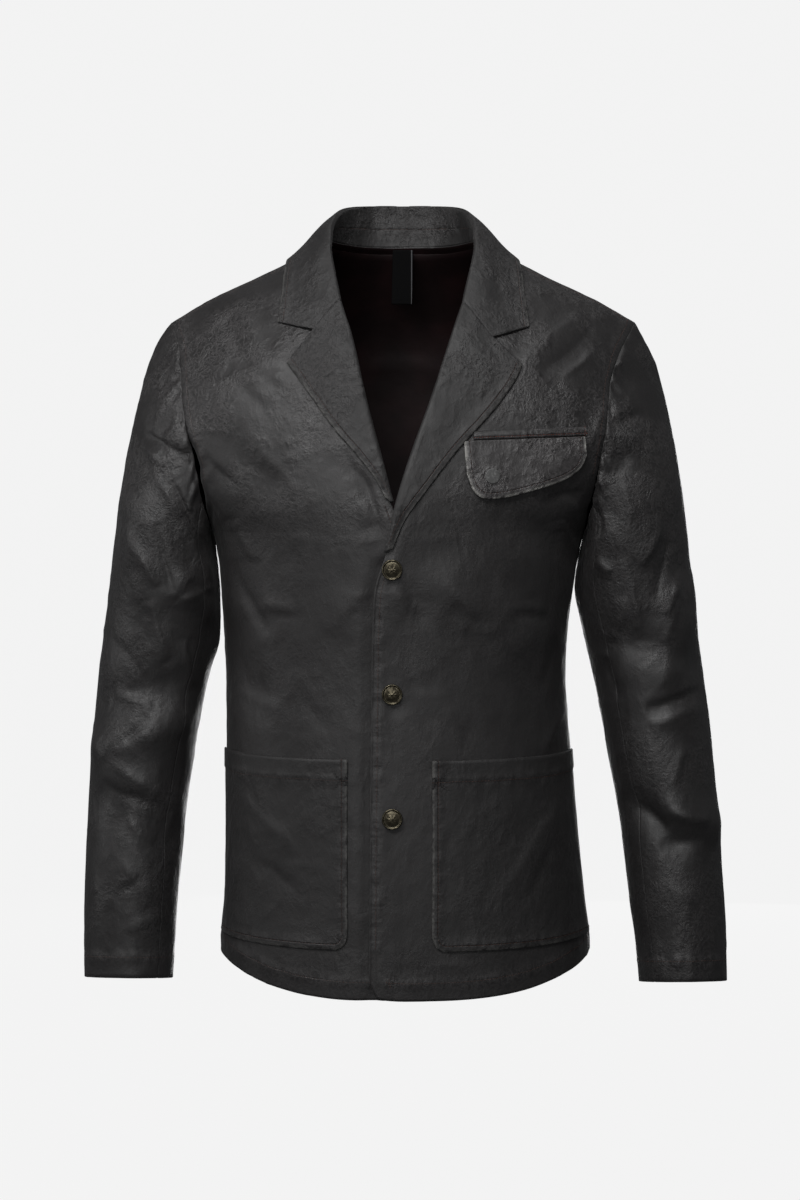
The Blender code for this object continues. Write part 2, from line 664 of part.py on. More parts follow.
def collar_frame(s):
    """Neck seam, roll centre, outer edge and the two directions of the collar's section at s."""
    place, side = abs(s), LEFT if s >= 0 else RIGHT
    at = {key: curve(place) for key, curve in collar_at.items()}
    if place <= NECK_POINT:
        seam = Vector((side * back_neck["x"](place), back_neck["y"](place), at["seam_z"]))
    else:
        seam, _ = body_point(side, side * front_edge[side](at["seam_z"]), at["seam_z"], 0.0)
    turn = Vector((side * at["turn_x"], at["turn_y"], at["turn_z"]))
    x, z = side * at["edge_x"], at["edge_z"]
    behind = Vector((x, torso_y(x, z, BACK) + REST + FOLDED + 2.5, z + 1.5))
    before, _ = body_point(side, x, min(z, shoulder_height(abs(x)) - 1), REST + FOLDED + 1)
    edge = behind.lerp(before, ease((place - 0.5) / 0.12))
    forward = ease((place - NECK_POINT) / 0.42)
    crest = Vector((0, 0, 1)).lerp(Vector((0, -0.93, 0.36)), forward).normalized()
    away = edge - turn
    away = (away - crest * away.dot(crest)).normalized()
    return seam, turn, edge, crest, away


def fall_grid(lapels):
    """The collar's fall: up from the stand, over the roll and down to its outer edge."""
    ends = {}
    for side, rows in lapels.items():
        gorge, line = GORGE[side], [point.copy() for point in rows[-1][:7]]
        for share in (0.36, 0.7, 1.0):
            x = side * mix(gorge.notch_x, gorge.corner_x, share)
            z = mix(gorge.notch_z, gorge.corner_z, share)
            point, _ = body_point(side, x, z, mix(3.9, REST + FOLDED, share))
            line.append(point)
        ends[side] = line
    own_ends = {side: fall_section(side * 1.0) for side in ends}
    rows = []
    for step in range(-COLLAR_STEPS, COLLAR_STEPS + 1):
        s = step / COLLAR_STEPS
        side = LEFT if s >= 0 else RIGHT
        line = fall_section(s)
        for k, point in enumerate(line):
            fade = ease((abs(s) - 0.5) / 0.5) if k > 3 else ease((abs(s) - 0.7) / 0.3)
            point += (ends[side][k] - own_ends[side][k]) * fade
        rows.append(ends[side] if abs(s) == 1 else line)
    return rows


def fall_section(s):
    seam, turn, edge, crest, away = collar_frame(s)
    radius = mix(4.0, ROLL_RADIUS, ease((abs(s) - 0.5) / 0.4))
    line = [round_point(turn, away, crest, radius, angle) for angle in (-90, -45, 0)]
    start = mix(seam - away * CLOTH, line[0], 0.48)
    peak = turn + crest * radius
    for share in (0.12, 0.28, 0.47, 0.66, 0.84, 1.0):
        point = peak.lerp(edge, share)
        line.append(point + crest * 3.5 * math.sin(math.pi * min(share * 1.4, 1.0)))
    return [start] + line


def stand_grid(fall):
    """The collar's stand: from the neck seam up to the seam inside the fall."""
    last = round(STAND_END * COLLAR_STEPS)
    rows = []
    for step in range(-last, last + 1):
        seam, _, _, crest, away = collar_frame(step / COLLAR_STEPS)
        foot = seam - away * CLOTH + crest * SEAM_GAP
        head = fall[step + COLLAR_STEPS][0]
        rows.append([foot.lerp(head, share) for share in (0.0, 0.5, 1.0)])
    return rows


# ---------------------------------------------------------------- pieces that lie on the body
def pocket_grids(side, rows, normals):
    """Inner and outer points of a patch pocket, made from the front's own points."""
    pocket = POCKET[side]
    heights = list(LOW_ROWS)
    band = pocket.top - POCKET_BAND
    lines = [pocket.bottom, pocket.bottom + 12, band - 1.5, band, pocket.top]
    lines += [z for z in LOW_ROWS if pocket.bottom + 20 < z < band - 8]
    inner, outer = [], []
    for z in sorted(lines):
        row = where(heights, z)
        places = [side * on_grid(rows, row, i).x for i in range(len(rows[0]))]
        columns = [where(places, pocket.inner + POCKET_CORNER * share) for share in CORNER_STEPS]
        columns += [i for i in range(len(places) - 1) if i > columns[-1] + 0.15]
        columns.append(where(places, places[-1] - POCKET_SIDE_GAP))
        thick = CLOTH + (BAND_EXTRA if z >= band else 0.0)
        inner_line, outer_line = [], []
        for number, column in enumerate(columns):
            reach = 1 - CORNER_STEPS[number] if number < len(CORNER_STEPS) else 0.0
            corner = POCKET_CORNER * (1 - math.sqrt(1 - reach**2))
            raised = where(heights, z + (corner if z == pocket.bottom else 0.0))
            point = on_grid(rows, raised, column)
            normal = on_grid(normals, raised, column).normalized()
            inner_line.append(point + normal * LAID_GAP)
            outer_line.append(point + normal * (LAID_GAP + thick))
        inner.append(inner_line)
        outer.append(outer_line)
    return inner, outer


def surface_of(rows):
    """The faceted outside of a piece, to lay other pieces on."""
    points = [point for line in rows for point in line]
    return BVHTree.FromPolygons(points, grid_triangles(len(rows), len(rows[0])))


def laid(surface, x, z, lift):
    """A point on a surface as seen from the front, moved out by lift."""
    hit, _, _, _ = surface.ray_cast(Vector((x, -500, z)), Vector((0, 1, 0)))
    _, normal = body_point(LEFT, x, z, 0.0)
    return hit + normal * lift, normal


def line_height(line, x):
    return mix(line.z0, line.z1, (x - line.x0) / (line.x1 - line.x0))


def flap_grids(surface):
    """Inner and outer points of the slanting chest flap, which hangs a little off the chest."""
    inner, outer = [], []
    for share in (0.0, 0.12, 0.4, 0.7, 1.0):
        lift = mix(LAID_GAP, FLAP_STANDS_OFF, ease(share))
        inner_line, outer_line = [], []
        for cut in FLAP:
            x = mix(cut.top_x, cut.foot_x, share)
            z = mix(line_height(FLAP_TOP, cut.top_x), cut.foot_z, share)
            inner_line.append(laid(surface, x, z, lift)[0])
            outer_line.append(laid(surface, x, z, lift + FOLDED)[0])
        inner.append(inner_line)
        outer.append(outer_line)
    return inner, outer


def welt_grids(surface):
    """Inner and outer points of the welt above the flap."""
    inner, outer = [], []
    for share in (0.0, 0.5, 1.0):
        bulge = CLOTH + 0.8 * math.sin(math.pi * share)
        inner_line, outer_line = [], []
        for i in range(9):
            x = mix(WELT_TOP.x0, WELT_TOP.x1, i / 8)
            z = line_height(WELT_TOP, x) - WELT_DEPTH * (1 - share)
            inner_line.append(laid(surface, x, z, LAID_GAP)[0])
            outer_line.append(laid(surface, x, z, LAID_GAP + bulge)[0])
        inner.append(inner_line)
        outer.append(outer_line)
    return inner, outer


def disc(name, centre, normal, profile, look, sides):
    """A turned piece on an axis: profile rows are radius and height along the normal."""
    across = normal.orthogonal().normalized()
    beside = normal.cross(across)
    points, faces = [], []
    for radius, height in profile:
        for k in range(sides):
            angle = math.tau * k / sides
            spoke = across * math.cos(angle) + beside * math.sin(angle)
            points.append(centre + spoke * radius + normal * height)
    for ring in range(len(profile) - 1):
        for k in range(sides):
            a, b = ring * sides + k, ring * sides + (k + 1) % sides
            faces.append((a, b, b + sides, a + sides))
    faces.append(tuple(reversed(range(sides))))
    faces.append(tuple((len(profile) - 1) * sides + k for k in range(sides)))
    return mesh_object(name, points, faces, look)


BUTTON_PROFILE = (  # radius and height, from the foot of the shank to the raised middle
    (3.0, 0.0), (3.0, 1.4), (BUTTON - 1.6, 1.8), (BUTTON, 2.9),
    (BUTTON - 0.6, 3.8), (BUTTON - 1.6, 3.4), (3.0, 4.1),
)
SNAP_PROFILE = ((SNAP - 0.8, 0.0), (SNAP, 0.5), (SNAP - 0.6, 1.3), (3.0, 1.6))


def label_grids():
    """A small woven tab that hangs from the neck seam at the centre back."""
    inner, outer = [], []
    for share in (0.0, 0.5, 1.0):
        z = -7.5 - LABEL_DROP * share
        y = mix(62.7, 64.7, share)
        offsets = (-LABEL_WIDTH / 2, 0.0, LABEL_WIDTH / 2)
        outer.append([Vector((x, y, z)) for x in offsets])
        inner.append([Vector((x, y + 1.0, z)) for x in offsets])
    return inner, outer


def lining_wall(rows, own, shared, look):
    """The back's lining, on every second row and column, closest to the cloth at the neck."""
    top = len(rows) - 1
    picked = list(range(top - 3, 2, -2))[::-1] + [top - 2, top - 1, top]
    columns = range(1, len(rows[0]) - 1, 2)
    line_rows, line_own, line_shared = [
        [[grid[j][i] for i in columns] for j in picked] for grid in (rows, own, shared)
    ]
    gaps = [2.5] * (len(picked) - 1) + [0.8]
    outer = [
        moved_in([points], [a], [b], CLOTH + gap)[0]
        for points, a, b, gap in zip(line_rows, line_own, line_shared, gaps)
    ]
    cloth("back_lining", outer, line_own, line_own, LINING, look, 1.0)


# ---------------------------------------------------------------- looks
def look(name, colour, roughness, metallic=0.0):
    material = bpy.data.materials.new(name)
    material.use_nodes = True
    shader = material.node_tree.nodes["Principled BSDF"]
    shader.inputs["Base Color"].default_value = (*colour, 1.0)
    shader.inputs["Roughness"].default_value = roughness
    shader.inputs["Metallic"].default_value = metallic
    return material


# ---------------------------------------------------------------- the whole blazer
def shell_grids():
    """The body and sleeve pieces as grids, and for each a way to tell its inside."""
    fronts = {side: front_grid(side) for side in SIDES}
    back = back_grid()
    grids = {"front_" + name: fronts[side] for side, name in SIDES.items()}
    grids["back"] = back
    insides = dict.fromkeys(grids, lambda point: Vector((0, 0, point.z)))
    for side, name in SIDES.items():
        rings = sleeve_rings(side, fronts[side], back)
        axis = [(ring[0] + ring[HALF_RING]) / 2 for ring in rings]
        front_seam, back_seam = SLEEVE_SEAMS
        grids["sleeve_top_" + name] = columns_of(rings, back_seam, 2 * HALF_RING + front_seam)
        grids["sleeve_under_" + name] = columns_of(rings, front_seam, back_seam)
        for piece in ("sleeve_top_", "sleeve_under_"):
            insides[piece + name] = lambda point, axis=axis: min(
                axis, key=lambda middle: (middle - point).length
            )
    return grids, insides


def main():
    for old in list(bpy.data.objects):
        bpy.data.objects.remove(old)
    shell = look("coated_cloth", (0.030, 0.028, 0.027), 0.42)
    lining_look = look("lining", (0.030, 0.012, 0.012), 0.6)
    brass = look("antique_brass", (0.32, 0.24, 0.13), 0.38, 1.0)
    snap_look = look("snap_metal", (0.10, 0.10, 0.10), 0.45, 0.8)
    label_look = look("label_tape", (0.02, 0.02, 0.02), 0.7)

    grids, insides = shell_grids()
    _, shared = shared_normals(grids, insides)
    grids = {name: folded(rows, shared[name]) for name, rows in grids.items()}
    own, shared = shared_normals(grids, insides)
    for name, rows in grids.items():
        cloth(name, rows, own[name], shared[name], CLOTH, shell)
    lining_wall(grids["back"], own["back"], shared["back"], lining_look)

    lapels = {}
    for side, name in SIDES.items():
        rows, normals = grids["front_" + name], own["front_" + name]
        inner, outer = pocket_grids(side, rows, normals)
        wall("patch_pocket_" + name, outer, inner, shell)
        lapels[side] = lapel_sections(side, rows, normals)

    trim = {"lapel_" + name: lapels[side] for side, name in SIDES.items()}
    trim_insides = dict.fromkeys(trim, lambda point: point + Vector((0, 100, 0)))
    trim["collar_fall"] = fall_grid(lapels)
    trim_insides["collar_fall"] = lambda point: point - Vector((0, 0, 100))
    trim["collar_stand"] = stand_grid(trim["collar_fall"])
    trim_insides["collar_stand"] = lambda point: point * 2
    own, shared = shared_normals(trim, trim_insides)
    for name, rows in trim.items():
        depth = CLOTH if name == "collar_stand" else FOLDED
        cloth(name, rows, own[name], shared[name], depth, shell)

    surface = surface_of(grids["front_left"])
    inner, outer = welt_grids(surface)
    wall("chest_welt", outer, inner, shell)
    inner, outer = flap_grids(surface)
    wall("chest_flap", outer, inner, shell)
    foot, normal = laid(surface_of(outer), SNAP_X, SNAP_Z, LAID_GAP)
    disc("flap_snap", foot, normal, SNAP_PROFILE, snap_look, 16)
    for number, z in enumerate(BUTTON_Z, 1):
        foot, normal = laid(surface, BUTTON_X, z, LAID_GAP)
        disc(f"button_{number}", foot, normal, BUTTON_PROFILE, brass, 18)
    inner, outer = label_grids()
    wall("neck_label", outer, inner, label_look)


main()
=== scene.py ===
"""The looks of the blazer: each cut piece again as a fine sheet of coated cloth, with its folds,
creases, seams and stitches, on the form that the frame gives.

Sizes are in millimetres and become metres when a mesh is made. +X is the wearer's left, -Y the
front, +Z up, and the origin is midway between the neck points of the shoulder seams.
"""

import math
from bisect import bisect_right
from collections import namedtuple

import bpy
import numpy as np
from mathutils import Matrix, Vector
from mathutils.bvhtree import BVHTree
from mathutils.kdtree import KDTree


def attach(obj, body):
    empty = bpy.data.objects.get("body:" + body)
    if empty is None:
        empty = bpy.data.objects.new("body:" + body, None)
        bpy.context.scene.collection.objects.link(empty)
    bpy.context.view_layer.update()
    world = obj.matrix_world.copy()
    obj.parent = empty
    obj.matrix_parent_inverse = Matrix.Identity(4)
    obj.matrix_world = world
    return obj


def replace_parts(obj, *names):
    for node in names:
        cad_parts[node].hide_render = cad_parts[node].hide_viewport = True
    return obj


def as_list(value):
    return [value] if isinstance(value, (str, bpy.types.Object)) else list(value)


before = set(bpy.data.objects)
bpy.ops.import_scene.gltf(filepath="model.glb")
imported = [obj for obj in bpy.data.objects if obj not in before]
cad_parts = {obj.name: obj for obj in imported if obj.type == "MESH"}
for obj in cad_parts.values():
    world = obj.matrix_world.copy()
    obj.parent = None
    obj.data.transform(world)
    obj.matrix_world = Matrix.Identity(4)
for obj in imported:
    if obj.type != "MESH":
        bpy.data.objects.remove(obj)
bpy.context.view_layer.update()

MM = 0.001
RIGHT, LEFT = -1, 1  # the wearer's sides, as signs of X
SIDES = {RIGHT: "right", LEFT: "left"}
FRONT, BACK = -1, 1  # the faces, as signs of Y

# ---------------------------------------------------------------- driving sizes
CLOTH = 1.5  # coated cotton with its backing
FOLDED = 2.0  # two layers pressed together: lapels, collar, flap
LINING = 1.0
SEAM_GAP = 0.3
LAID_GAP = 0.45  # between a piece and the one that it lies on
HEM_Z = -735.0  # centre front hem, below the neck points
UNDERARM_Z = -289.0
TIP_Z = -81.0  # shoulder tip, where shoulder seam and sleeve meet
CUFF_Z = -729.0
TIP_X = 230.5
NECK_X = 74.5  # neck point of the shoulder seam
SQUARE = 2.3  # exponent of the torso's sections: 2 is an ellipse
ROUND = {FRONT: 120.0, BACK: 135.0}  # how far below the shoulder line the body reaches full depth
HEM_RISE = 29.0  # the side seams are this much shorter than the centre front
HEM_CURVE = 3.2  # exponent of the rise towards them
HEM_CORNER = 25.0  # radius of the front edge's lower corner
HEM_FADE, CORNER_FADE = 52.0, 75.0  # heights over which the hem's forms fade out
OVERLAP_LIFT = 5.5  # the left front lies this far over the right one
OVERLAP_END, OVERLAP_FADE = 48.0, 36.0  # where that lift ends at the side, and over what width
OVERLAP_TOP, OVERLAP_RISE = -195.0, 55.0  # the same upwards
ROLL_RADIUS = 3.4  # of the folded edge of collar and lapels
REST = 1.0  # clear height of a lapel's or the collar's free edge over the body

Section = namedtuple("Section", "z right left front back mid")
BODY = (  # half widths on each side of x = 0, depths before and behind the middle
    Section(-740.5, 182.5, 188.5, 140, 126, 0),
    Section(-699.5, 183.5, 187.5, 139, 126, 0),
    Section(-659, 179, 182.5, 137, 125, 0),
    Section(-598.5, 177.5, 176, 134, 121, 0),
    Section(-527.5, 177, 170, 130, 115, 0),
    Section(-467, 177, 165, 127, 110, 0),
    Section(-427, 178, 163, 126, 109, 0),
    Section(-387, 179.5, 165, 127, 112, 0),
    Section(-337, 182.5, 171, 130, 118, 1),
    Section(-307, 186, 176.5, 131, 121, 1.5),
    Section(-289, 189.5, 180.5, 132, 123, 2),
    Section(-267, 204.5, 194.5, 132, 125, 2.5),
    Section(-227.5, 231.5, 221.5, 128, 127, 3),
    Section(-184.5, 245, 235, 120, 127, 4),
    Section(-150, 242, 235, 111, 125, 5),
    Section(-113.5, 238.5, 234.5, 99, 119, 6),
    Section(-80, 236.5, 234.5, 86, 109, 7),
    Section(-39.5, 236, 234, 71, 94, 8),
    Section(10, 236, 234, 60, 80, 8),
)

Ridge = namedtuple("Ridge", "x z")
SHOULDER = (  # the top line of the body, out from the neck
    Ridge(0, 33.5), Ridge(39.5, 18.5), Ridge(74.5, 0), Ridge(112, -20.5),
    Ridge(149, -38.5), Ridge(188.5, -57), Ridge(230.5, -81),
)

Opening = namedtuple("Opening", "z front_right front_left back_right back_left")
ARMHOLE = (  # distance of the armhole seam from x = 0
    Opening(-81, 230.5, 230.5, 230.5, 230.5),
    Opening(-98.5, 223.5, 221, 224.5, 222.5),
    Opening(-114.5, 219.5, 212.5, 219.5, 215),
    Opening(-150, 217, 202.5, 212, 203),
    Opening(-184.5, 212, 197.5, 206, 197),
    Opening(-212.5, 203.5, 192.5, 202.5, 192.5),
    Opening(-242.5, 196.5, 186.5, 197.5, 187.5),
    Opening(-267, 191.5, 182, 192.5, 183.5),
    Opening(-289, 189.5, 180.5, 189.5, 180.5),
)

Edge = namedtuple("Edge", "z right left")
FRONT_EDGE = (  # inner edge of each front: button edge, then roll line, then neck seam
    Edge(-740.5, -12, -32.5), Edge(-639, -12, -32), Edge(-558, -12, -31.5),
    Edge(-477.5, -12, -30.5), Edge(-397, -12, -29.5), Edge(-347, -12, -27.5),
    Edge(-327, -12, -23.5), Edge(-302, -5.5, -15), Edge(-282, 2, -9.5),
    Edge(-259, 11, -4.5), Edge(-212.5, 24, 10), Edge(-155, 39.5, 31),
    Edge(-99.5, 52, 49), Edge(-67, 62.5, 60), Edge(-46.5, 69, 68.5),
    Edge(-19.5, 75, 75), Edge(0, 74.5, 74.5),
)

Ring = namedtuple("Ring", "z z_in out_right out_left in_right in_left mid deep pitch")
SLEEVE = (  # outer line down the sleeve, its inner line, then middle, half depth, front raised
    Ring(-81, -289, 230.5, 230.5, 189.5, 180.5, 3, 74, 0),
    Ring(-96.5, -294, 241.5, 239, 189.3, 180.4, 3, 77, 0),
    Ring(-114.5, -300, 250.5, 249, 188.4, 179.2, 3, 79, 0),
    Ring(-140, -308, 258.5, 257, 187, 177.4, 2, 79.5, 0),
    Ring(-172, -318, 266.5, 264, 185.7, 175.4, 1, 79, 0),
    Ring(-207.5, -330, 274, 270.5, 184.4, 173.2, 0, 77, 0),
    Ring(-249, -346, 281, 277, 183.2, 172, 0, 73, 0),
    Ring(-297, -367, 287.5, 283, 182.3, 175.5, -1, 68, 1),
    Ring(-349, -395, 293.5, 290, 183, 181.5, -3, 63, 1),
    Ring(-402, -427, 300.5, 296, 192, 189, -6, 59.5, 2),
    Ring(-455, -465, 306, 303, 200.5, 197, -11, 57, 3),
    Ring(-507.5, -510.5, 310.5, 308.5, 208, 205, -17, 55, 4),
    Ring(-558, -558, 313.5, 313, 215.5, 214, -24, 52.5, 5),
    Ring(-608.5, -608.5, 315.5, 317, 219.5, 220.5, -31, 49, 6),
    Ring(-654, -654, 316.5, 319.5, 224, 225.5, -37, 46.5, 6.5),
    Ring(-694.5, -694.5, 317, 321, 226.5, 231.5, -42, 44, 7),
    Ring(-729, -730, 316.5, 321.5, 228.5, 234.5, -46, 42.5, 7),
)
SLEEVE_RINGS = 24
SLEEVE_STRETCH = {RIGHT: 1.0, LEFT: 1.006}  # the left sleeve is a little longer as worn
HALF_RING = 12  # columns down each half of the armhole, 15 degrees apart
SLEEVE_SEAMS = (9, 16)  # columns of the front and the back sleeve seam

NeckSeam = namedtuple("NeckSeam", "s x y")
BACK_NECK = (  # seam of the back and the collar, from the centre back to the neck point
    NeckSeam(0.00, 0, 68), NeckSeam(0.15, 28, 64), NeckSeam(0.30, 49.5, 52),
    NeckSeam(0.42, 65.5, 35), NeckSeam(0.55, 74.5, 8),
)
NECK_POINT = 0.55  # where s passes from the back onto the front

Collar = namedtuple("Collar", "s seam_z turn_x turn_y turn_z edge_x edge_z")
COLLAR = (  # from the centre back to the gorge: neck seam, centre of the roll, outer edge
    Collar(0.00, -4, 0, 76, 33.5, 0, -14),
    Collar(0.15, -4, 26, 73, 33.5, 37.5, -14),
    Collar(0.30, -3, 45.5, 61, 32.5, 71.5, -15),
    Collar(0.42, -1, 59.5, 41, 29.5, 96, -16.5),
    Collar(0.55, 0, 67.5, 16, 22.5, 110, -18.5),
    Collar(0.68, -7, 72.5, -8, 8, 115, -29.5),
    Collar(0.80, -24.5, 72.5, -30, -13, 117, -50),
    Collar(0.90, -44.5, 67, -49, -39.5, 119, -69),
    Collar(1.00, -65, 61.5, -64, -65, 121, -84.5),
)

Gorge = namedtuple("Gorge", "seam_z notch_x notch_z corner_x corner_z")
GORGE = {  # inner end of the seam between collar and lapel, notch, corner of the collar
    RIGHT: Gorge(-65, 86, -91, 121, -83),
    LEFT: Gorge(-67, 85.5, -98.5, 122, -87.5),
}

Lapel = namedtuple("Lapel", "t roll_z edge_x edge_z")
LAPEL = {  # rows from the break up to the gorge: height on the roll line, then the outer edge
    RIGHT: (
        Lapel(0.00, -255, 17, -251), Lapel(0.12, -239.5, 25, -235.5), Lapel(0.30, -208.5, 43, -211.5),
        Lapel(0.50, -162, 65.5, -185.5), Lapel(0.75, -109.5, 90.5, -151), Lapel(0.90, -84.5, 105.5, -130),
        Lapel(1.00, -65, 111.5, -122.5),
    ),
    LEFT: (
        Lapel(0.00, -302, -10, -299), Lapel(0.12, -274, 0.5, -274), Lapel(0.30, -234.5, 24, -241.5),
        Lapel(0.50, -186.5, 52, -205.5), Lapel(0.75, -128, 83.5, -171), Lapel(0.90, -93.5, 107.5, -139),
        Lapel(1.00, -67, 114, -124.5),
    ),
}
LAPEL_STEPS = 13
NOTCH = 0.47  # share of the lapel's and the collar's width at which they part

Pocket = namedtuple("Pocket", "inner top bottom")
POCKET = {RIGHT: Pocket(54, -503.5, -685.5), LEFT: Pocket(28.5, -504.5, -686.5)}
POCKET_CORNER = 13.0
POCKET_BAND = 20.0  # depth of the turned top
POCKET_SIDE_GAP = 2.0  # the outer edge stops this far before the side seam
BAND_EXTRA = 1.0  # the turned top is this much thicker

Cut = namedtuple("Cut", "top_x foot_x foot_z")
FLAP = (  # slanting chest flap, column by column from the front edge to the armhole
    Cut(58.5, 61, -228.5), Cut(62, 66.5, -243.5), Cut(68.5, 76.5, -251.5), Cut(84.5, 91, -251.5),
    Cut(104.5, 107.5, -248.5), Cut(122.5, 124, -244), Cut(138.5, 139, -239.5), Cut(151.5, 152.5, -234.5),
    Cut(162.5, 162.5, -229), Cut(170.5, 170.5, -221), Cut(175, 175, -211.5),
)
Line = namedtuple("Line", "x0 z0 x1 z1")
FLAP_TOP = Line(58.5, -198, 175, -194)
WELT_TOP = Line(68, -188.5, 176.5, -184.5)
WELT_DEPTH = 7.5
FLAP_STANDS_OFF = 2.6  # how far the flap's lower edge stands off the chest

BUTTON_X = -10.5
BUTTON_Z = (-319.5, -439.5, -559.0)
SNAP_X, SNAP_Z = 85.5, -230.5
LABEL_WIDTH, LABEL_DROP = 20.0, 54.0

Fold = namedtuple("Fold", "face x0 z0 x1 z1 width height")


def folds(face, *rows):
    """Ridges (+) and troughs (-) as seen on one face, each from one end of its line to the other."""
    return [Fold(face, *row) for row in rows]


FOLDS = folds(  # the soft, wide ones
    FRONT,
    (-266, -203, -205, -310, 17, -6), (-262, -262, -250, -345, 20, 6), (-218, -222, -196, -268, 15, -5),
    (-215, -340, -190, -362, 16, 4), (-300, -455, -235, -440, 20, -6), (-300, -500, -225, -475, 17, 5),
    (-305, -550, -230, -590, 20, -4), (210, -140, 250, -130, 16, -4), (200, -265, 212, -215, 17, -6),
    (268, -210, 282, -300, 20, 4), (285, -345, 262, -420, 20, 6), (215, -390, 300, -420, 20, -5),
    (235, -555, 265, -585, 17, -6), (265, -560, 308, -575, 18, 6), (-192, -185, -130, -235, 20, -4),
    (-175, -390, -150, -440, 24, -5), (140, -225, 192, -195, 18, 3), (45, -330, 110, -385, 24, 4),
    (100, -275, 165, -300, 22, -4),
) + folds(
    BACK,
    (-266, -200, -215, -290, 18, -6), (266, -200, 215, -290, 18, -6), (-300, -470, -225, -490, 22, -5),
    (300, -470, 225, -490, 22, -5), (-192, -230, -110, -195, 24, -5), (185, -230, 110, -195, 24, -5),
    (-140, -425, 140, -432, 34, -4),
)


# ---------------------------------------------------------------- curves and the torso's form
def through(rows, key, value):
    """A smooth function through one column of a table, with no overshoot."""
    knots = sorted((getattr(row, key), getattr(row, value)) for row in rows)
    keys = [knot[0] for knot in knots]
    steps = [(b[1] - a[1]) / (b[0] - a[0]) for a, b in zip(knots, knots[1:])]
    slopes = [steps[0]]
    for before, after in zip(steps, steps[1:]):
        same_way = before * after > 0
        slopes.append(2 * before * after / (before + after) if same_way else 0.0)
    slopes.append(steps[-1])

    def at(place):
        place = min(max(place, keys[0]), keys[-1])
        i = min(bisect_right(keys, place) - 1, len(steps) - 1)
        span = keys[i + 1] - keys[i]
        t = (place - keys[i]) / span
        rise = (knots[i + 1][1] - knots[i][1]) * t * t * (3 - 2 * t)
        start = span * slopes[i] * t * (1 - t) ** 2
        end = span * slopes[i + 1] * t * t * (t - 1)
        return knots[i][1] + rise + start + end

    return at


def mix(a, b, t):
    return a + (b - a) * t


def ease(t):
    """0 to 1 with flat ends."""
    t = min(max(t, 0.0), 1.0)
    return t * t * (3 - 2 * t)


def smooth(t):
    """The same for arrays."""
    t = np.clip(t, 0, 1)
    return t * t * (3 - 2 * t)


half_width = {side: through(BODY, "z", name) for side, name in SIDES.items()}
body_depth = {FRONT: through(BODY, "z", "front"), BACK: through(BODY, "z", "back")}
body_middle = through(BODY, "z", "mid")
shoulder_height = through(SHOULDER, "x", "z")
front_edge = {side: through(FRONT_EDGE, "z", name) for side, name in SIDES.items()}
armhole_x = {
    (face, side): through(ARMHOLE, "z", face_name + "_" + name)
    for face, face_name in ((FRONT, "front"), (BACK, "back"))
    for side, name in SIDES.items()
}


def torso_y(x, z, face):
    """The torso's surface at x and z: superellipse sections that close along the shoulder line."""
    side = LEFT if x >= 0 else RIGHT
    share = min(abs(x) / half_width[side](z), 1.0)
    across = (1 - share**SQUARE) ** (1 / SQUARE)
    below = min(max((shoulder_height(abs(x)) - z) / ROUND[face], 0.0), 1.0)
    over = math.sqrt(1 - (1 - below) ** 2)
    return body_middle(z) + face * body_depth[face](z) * across * over


def turn_at(x, z):
    """The angle round a section at which the torso reaches x, from 0 in the middle to 90 degrees."""
    side = LEFT if x >= 0 else RIGHT
    share = min(abs(x) / half_width[side](z), 1.0)
    return math.copysign(math.asin(share ** (SQUARE / 2)), x)


def x_at(turn, z):
    side = LEFT if turn >= 0 else RIGHT
    return side * half_width[side](z) * abs(math.sin(turn)) ** (2 / SQUARE)


def overlap_lift(side, x, z):
    """How far the left front stands off the right one that it covers."""
    if side == RIGHT:
        return 0.0
    aside = ease((OVERLAP_END - x) / OVERLAP_FADE)
    return OVERLAP_LIFT * aside * ease((OVERLAP_TOP - z) / OVERLAP_RISE)


def body_point(side, x, z, lift):
    """A point of the chest at x and z, moved out along the body's normal, and that normal."""
    step = 2.0
    y = torso_y(x, z, FRONT)
    slope_x = (torso_y(x + step, z, FRONT) - torso_y(x - step, z, FRONT)) / (2 * step)
    slope_z = (torso_y(x, z + step, FRONT) - torso_y(x, z - step, FRONT)) / (2 * step)
    normal = Vector((slope_x, -1, slope_z)).normalized()
    return Vector((x, y - overlap_lift(side, x, z), z)) + normal * lift, normal


# ---------------------------------------------------------------- the shell's pieces as grids
LOW_ROWS = (HEM_Z, -717, -700, -680, -650, -615, -580, -545, -510, -475,
            -440, -405, -370, -337, -308, UNDERARM_Z)
SIDE_ROW = len(LOW_ROWS) - 1  # the row at the underarm
EDGE_STEPS = (0, 5, 16)  # columns this far in from a front's inner edge
MORE_COLUMNS = 7
NECK_COLUMNS = 4  # of the back, on each side of the centre
BACK_NECK_Z = -4.0  # the back's rows level out towards this height at the centre
SLEEVE_HEAD = 170.0  # length over which the sleeve leaves the armhole's form


def armhole_heights():
    """Heights of the armhole's points from the underarm up to the shoulder tip."""
    middle, reach = (TIP_Z + UNDERARM_Z) / 2, (TIP_Z - UNDERARM_Z) / 2
    return [middle - reach * math.cos(math.pi * k / HALF_RING) for k in range(HALF_RING + 1)]


def hem_lift(share, z):
    """How far the hem curves up towards the side seam, fading out above it."""
    return HEM_RISE * share**HEM_CURVE * ease(1 - (z - HEM_Z) / HEM_FADE)


def corner_lift(inward, z):
    """The rounded lower corner of a front edge, fading out above it."""
    reach = max(1 - inward / HEM_CORNER, 0.0)
    return HEM_CORNER * (1 - math.sqrt(1 - reach**2)) * ease(1 - (z - HEM_Z) / CORNER_FADE)


